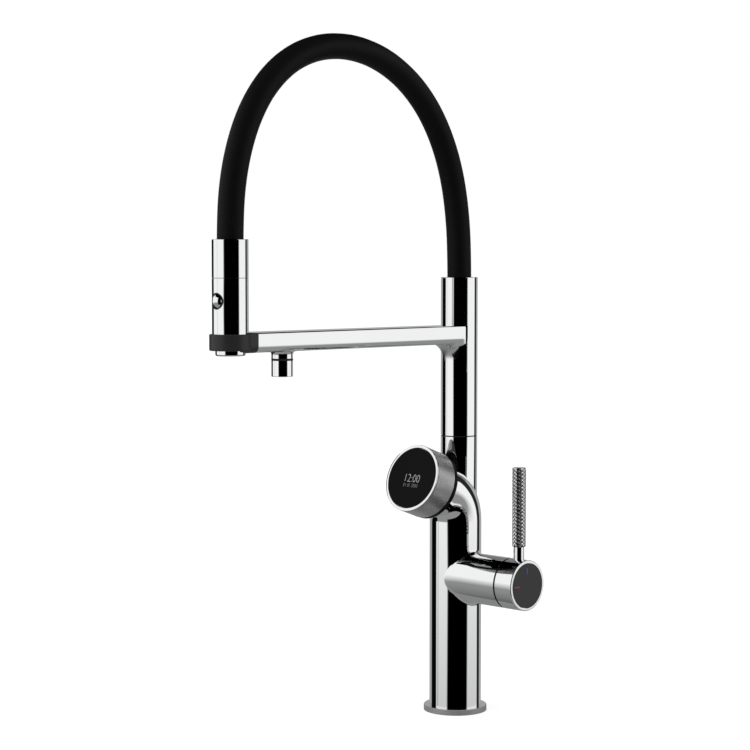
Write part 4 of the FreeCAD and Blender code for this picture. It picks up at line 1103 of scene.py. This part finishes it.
class CadDressing:
    """Finishes of the solids that come over from the CAD model."""

    def __init__(self, nodes: dict[str, bpy.types.Object], record: dict[str, Any]) -> None:
        """Keeps the solids and the slot that the record gives each."""
        self.nodes = nodes
        self.slots = {row["node"]: Slot(row["material_slot"]) for row in record["subparts"]}

    def dress(self) -> int:
        """Gives each solid the finish of its slot, and returns how many were dressed."""
        for name, node in self.nodes.items():
            node.data.materials.clear()
            node.data.materials.append(FINISHES[self.slots[name]].material())
        return len(self.nodes)


@dataclass(frozen=True)
class Glow(Finish):
    """An even glow, for the studio's cards."""

    name: str
    level: float

    def fill(self, recipe: Recipe) -> None:
        """Light that fades out to the sides of the card."""
        clear = recipe.node("ShaderNodeBsdfTransparent")
        shine = recipe.node(
            "ShaderNodeEmission", inputs={"Color": grey(self.level), "Strength": 1.0}
        )
        both = recipe.blend(recipe.attribute(FEATHER), clear, shine)
        recipe.node("ShaderNodeOutputMaterial", inputs={"Surface": both.outputs[0]})


def feather(bm: bmesh.types.BMesh, share: Callable[[Vector], float]) -> None:
    """Marks how much of a card shows at each of its corners.

    Args:
        bm: the card's mesh.
        share: gives zero or less at the card's sides, and one or more inside.
    """
    layer = bm.verts.layers.float.new(FEATHER)
    for vert in bm.verts:
        vert[layer] = min(1.0, max(0.0, share(vert.co)))


@dataclass(frozen=True)
class PaleFloor(Finish):
    """White worktop that keeps a soft shadow."""

    name: str = "pale_floor"
    paint: float = 0.5
    glow: float = 0.69

    def fill(self, recipe: Recipe) -> None:
        """Matt white, lifted to the backdrop's white where it is seen."""
        seen = seen_rays(recipe)
        paint = recipe.node("ShaderNodeBsdfDiffuse", inputs={"Color": grey(self.paint)})
        glow = recipe.node("ShaderNodeEmission", inputs={"Color": grey(self.glow), "Strength": 1.0})
        lifted = recipe.node(
            "ShaderNodeAddShader", inputs={0: paint.outputs[0], 1: glow.outputs[0]}
        )
        both = recipe.blend(seen, paint, lifted)
        recipe.node("ShaderNodeOutputMaterial", inputs={"Surface": both.outputs[0]})


def seen_rays(recipe: Recipe) -> Value:
    """One for rays that show the backdrop: from the camera, in metal and through glass."""
    path = recipe.node("ShaderNodeLightPath")
    kinds = ("Is Camera Ray", "Is Glossy Ray", "Is Transmission Ray")
    straight, mirrored, through = (recipe.value(path, kind) for kind in kinds)
    return straight + mirrored + through


@dataclass(frozen=True)
class Card:
    """An upright curved card round the tap that only shows in the metal.

    Its two sides are angles from the camera's own side, in degrees, and the rest is in metres.
    """

    name: str
    left: float
    right: float
    distance: float
    low: float
    high: float
    level: float


@dataclass(frozen=True)
class Flag:
    """An upright flat card close to the tap, from one spot of the worktop to another, in metres."""

    name: str
    start: tuple[float, float]
    end: tuple[float, float]
    low: float
    high: float
    level: float


@dataclass(frozen=True)
class Studio:
    """Camera, white surroundings, cards and lamps, in metres and degrees."""

    camera_place: Triple = (1.1828, -1.28395, 0.4001)
    camera_tilt: float = 3.33
    camera_side: float = 45.0
    lens: float = 94.8
    sensor: float = 36.0
    fill_light: float = 0.72
    cards: tuple[Card, ...] = (
        Card("front_flag", -42.0, 54.5, 1.5, -0.9, 2.0, 0.0),
        Card("back_card", 127.0, 235.0, 2.6, -0.9, 0.9, 0.42),
        Card("back_sky", 127.0, 235.0, 2.6, 0.9, 2.4, 0.2),
    )
    flags: tuple[Flag, ...] = (
        Flag("left_flag", (-0.4526, -0.3978), (-0.4024, -0.0152), -0.25, 0.46, 0.002),
        Flag("right_flag", (0.505, 0.9788), (0.058, 1.0013), -0.4, 0.8, 0.02),
    )
    card_step: float = 2.0
    card_feather: float = 6.0
    flag_feather: float = 0.04
    flag_cuts: int = 39
    ceiling_height: float = 1.6
    ceiling_radius: float = 1.65
    ceiling_sides: int = 64
    ground: Levels = ((-0.33, 0.29), (-0.12, 1.0))
    side_ground: Levels = (
        (-0.78, 0.12), (-0.68, 0.21), (-0.43, 0.28), (-0.26, 0.3), (-0.02, 0.75), (0.1, 1.0),
    )
    side_middle: float = -0.647
    side_half: float = 0.02
    side_soft: float = 0.02
    floor_size: float = 40.0
    lamp_place: Triple = (-0.5, -1.3, 1.9)
    lamp_target: Triple = (0.0, -0.1, 0.3)
    lamp_size: float = 1.4
    lamp_power: float = 14.0

    def set_camera(self) -> None:
        """Puts the camera where the photograph was taken from."""
        data = bpy.data.cameras.new("photo_camera")
        data.lens = self.lens
        data.sensor_width = self.sensor
        camera = bpy.data.objects.new("photo_camera", data)
        camera.location = self.camera_place
        tilt, side = math.radians(90.0 - self.camera_tilt), math.radians(self.camera_side)
        camera.rotation_euler = (tilt, 0.0, side)
        bpy.context.scene.collection.objects.link(camera)
        bpy.context.scene.camera = camera

    def ground_tone(self, recipe: Recipe, rise: Value, levels: Levels) -> bpy.types.NodeSocket:
        """The tone of the surroundings by how steeply a ray falls.

        Args:
            recipe: the world's tree.
            rise: upward part of the ray's way.
            levels: a rise and the tone there, from the lowest up.

        Returns:
            The tone's socket.
        """
        stops = [((height + 1.0) / 2.0, level) for height, level in levels]
        ramp = recipe.node("ShaderNodeValToRGB", {"stops": stops}, {0: (rise + 1.0) * 0.5})
        return ramp.outputs[0]

    def set_world(self) -> None:
        """Sets white surroundings that are greyer below the tap in metal, and an even fill light."""
        world = bpy.data.worlds.new("white_studio")
        world.use_nodes = True
        recipe = Recipe(world.node_tree)
        fill = recipe.node(
            "ShaderNodeBackground", inputs={"Color": grey(1.0), "Strength": self.fill_light}
        )
        white = recipe.node("ShaderNodeBackground", inputs={"Color": grey(1.0), "Strength": 1.0})
        way = recipe.node("ShaderNodeSeparateXYZ", inputs={0: recipe.spot()})
        rise, across = recipe.value(way, "Z"), recipe.value(way, "X")
        off = (across - self.side_middle).size() - self.side_half
        side = 1.0 - off * (1.0 / self.side_soft)
        plain = self.ground_tone(recipe, rise, self.ground)
        beside = self.ground_tone(recipe, rise, self.side_ground)
        mirrored = recipe.node(
            "ShaderNodeBackground",
            inputs={"Color": recipe.tint(side, plain, beside), "Strength": 1.0},
        )
        seen = recipe.blend(seen_rays(recipe), fill, white)
        in_metal = recipe.value(recipe.node("ShaderNodeLightPath"), "Is Glossy Ray")
        both = recipe.blend(in_metal, seen, mirrored)
        recipe.node("ShaderNodeOutputWorld", inputs={"Surface": both.outputs[0]})
        bpy.context.scene.world = world

    def set_floor(self) -> None:
        """Lays the worktop that the base flange stands on."""
        bm = bmesh.new()
        bmesh.ops.create_grid(bm, x_segments=1, y_segments=1, size=self.floor_size / 2.0)
        floor = piece_from(bm, "worktop", PaleFloor())
        floor.visible_glossy = False

    def only_in_metal(self, card: bpy.types.Object) -> None:
        """Hides a card from everything but reflections."""
        card.visible_camera = False
        card.visible_diffuse = False
        card.visible_transmission = False
        card.visible_shadow = False

    def card_share(self, spot: Vector, half: float) -> float:
        """How far a spot of a curved card lies from its nearer side, as a share of the soft edge.

        Args:
            spot: a corner of the card, turned so that the card's middle lies on the X axis.
            half: half of the card's angle.

        Returns:
            Zero at the side, and more inside.
        """
        return (half - abs(math.degrees(math.atan2(spot.y, spot.x)))) / self.card_feather

    def set_cards(self) -> None:
        """Stands the curved cards round the tap."""
        for card in self.cards:
            bm = bmesh.new()
            low = bm.verts.new((card.distance, 0.0, card.low))
            high = bm.verts.new((card.distance, 0.0, card.high))
            bm.edges.new((low, high))
            start = Matrix.Rotation(math.radians(card.left - self.camera_side), 4, "Z")
            bmesh.ops.transform(bm, matrix=start, verts=bm.verts[:])
            sweep = card.right - card.left
            bmesh.ops.spin(
                bm, geom=bm.verts[:] + bm.edges[:], cent=(0, 0, 0), axis=(0, 0, 1), dvec=(0, 0, 0),
                angle=math.radians(sweep), steps=math.ceil(sweep / self.card_step),
                use_duplicate=False,
            )
            middle = self.camera_side - (card.left + card.right) / 2.0
            turn = Matrix.Rotation(math.radians(middle), 3, "Z")
            feather(bm, lambda spot: self.card_share(turn @ spot, sweep / 2.0))
            self.only_in_metal(piece_from(bm, card.name, Glow("glow_" + card.name, card.level)))

    def set_flags(self) -> None:
        """Stands the flat cards beside the tap, and hangs a dark one over it."""
        for flag in self.flags:
            bm = bmesh.new()
            low = bm.verts.new((*flag.start, flag.low))
            edge = bm.edges.new((low, bm.verts.new((*flag.start, flag.high))))
            side = bmesh.ops.extrude_edge_only(bm, edges=[edge])["geom"]
            moved = [part for part in side if isinstance(part, bmesh.types.BMVert)]
            along = Vector((*flag.end, 0.0)) - Vector((*flag.start, 0.0))
            bmesh.ops.translate(bm, vec=along, verts=moved)
            level = [edge for edge in bm.edges if edge.verts[0].co.z == edge.verts[1].co.z]
            bmesh.ops.subdivide_edges(bm, edges=level, cuts=self.flag_cuts, use_grid_fill=False)
            middle = (Vector(flag.start) + Vector(flag.end)) / 2.0
            half = along.length / 2.0
            feather(bm, lambda spot: (half - (spot.xy - middle).length) / self.flag_feather)
            self.only_in_metal(piece_from(bm, flag.name, Glow("glow_" + flag.name, flag.level)))
        bm = bmesh.new()
        bmesh.ops.create_circle(
            bm, cap_ends=True, radius=self.ceiling_radius, segments=self.ceiling_sides
        )
        bmesh.ops.translate(bm, vec=(0.0, 0.0, self.ceiling_height), verts=bm.verts[:])
        feather(bm, lambda spot: 1.0)
        self.only_in_metal(piece_from(bm, "ceiling_flag", Glow("glow_ceiling", 0.0)))

    def set_lamp(self) -> None:
        """Hangs one wide soft lamp over the tap, to the camera's left."""
        data = bpy.data.lights.new("soft_box", "AREA")
        data.shape = "DISK"
        data.size = self.lamp_size
        data.energy = self.lamp_power
        lamp = bpy.data.objects.new("soft_box", data)
        lamp.location = self.lamp_place
        aim = Vector(self.lamp_target) - Vector(self.lamp_place)
        lamp.rotation_euler = aim.to_track_quat("-Z", "Y").to_euler()
        lamp.visible_glossy = False
        bpy.context.scene.collection.objects.link(lamp)

    def build(self) -> None:
        """Sets up the whole studio."""
        bpy.context.scene.view_settings.view_transform = "Standard"
        self.set_camera()
        self.set_world()
        self.set_floor()
        self.set_cards()
        self.set_flags()
        self.set_lamp()


def main() -> None:
    """Builds the studio and the pieces in order."""
    logging.basicConfig(level=logging.INFO, format="%(name)s: %(message)s")
    Studio().build()
    LOG.info("%s: mesh with %d faces", "hose_arch", len(HoseArch().build().data.polygons))
    LOG.info("%d solids dressed", CadDressing(frame["nodes"], frame["record"]).dress())
    axis = DialAxis()
    face = DisplayFace(axis)
    spray_seal = SealLine(
        "spray_joint_line", Body.HOSE_END,
        reach=262.55, level=386.0, radius=14.1, bore=13.0, thick=0.3,
    )
    nozzle_seal = SealLine(
        "nozzle_seal_line", Body.SPOUT,
        reach=207.45, level=319.8, radius=8.85, bore=7.6, thick=1.8, stands_for="nozzle_ring",
    )
    builders = (
        DialRing(axis).build, DialRim(axis).build, LeverGrip().build, spray_seal.build,
        nozzle_seal.build, SprayButton().build, face.build_clock, face.build_date,
    )
    for build in builders:
        piece = build()
        LOG.info("%s: mesh with %d faces", piece.name, len(piece.data.polygons))


if __name__ == "__main__":
    main()
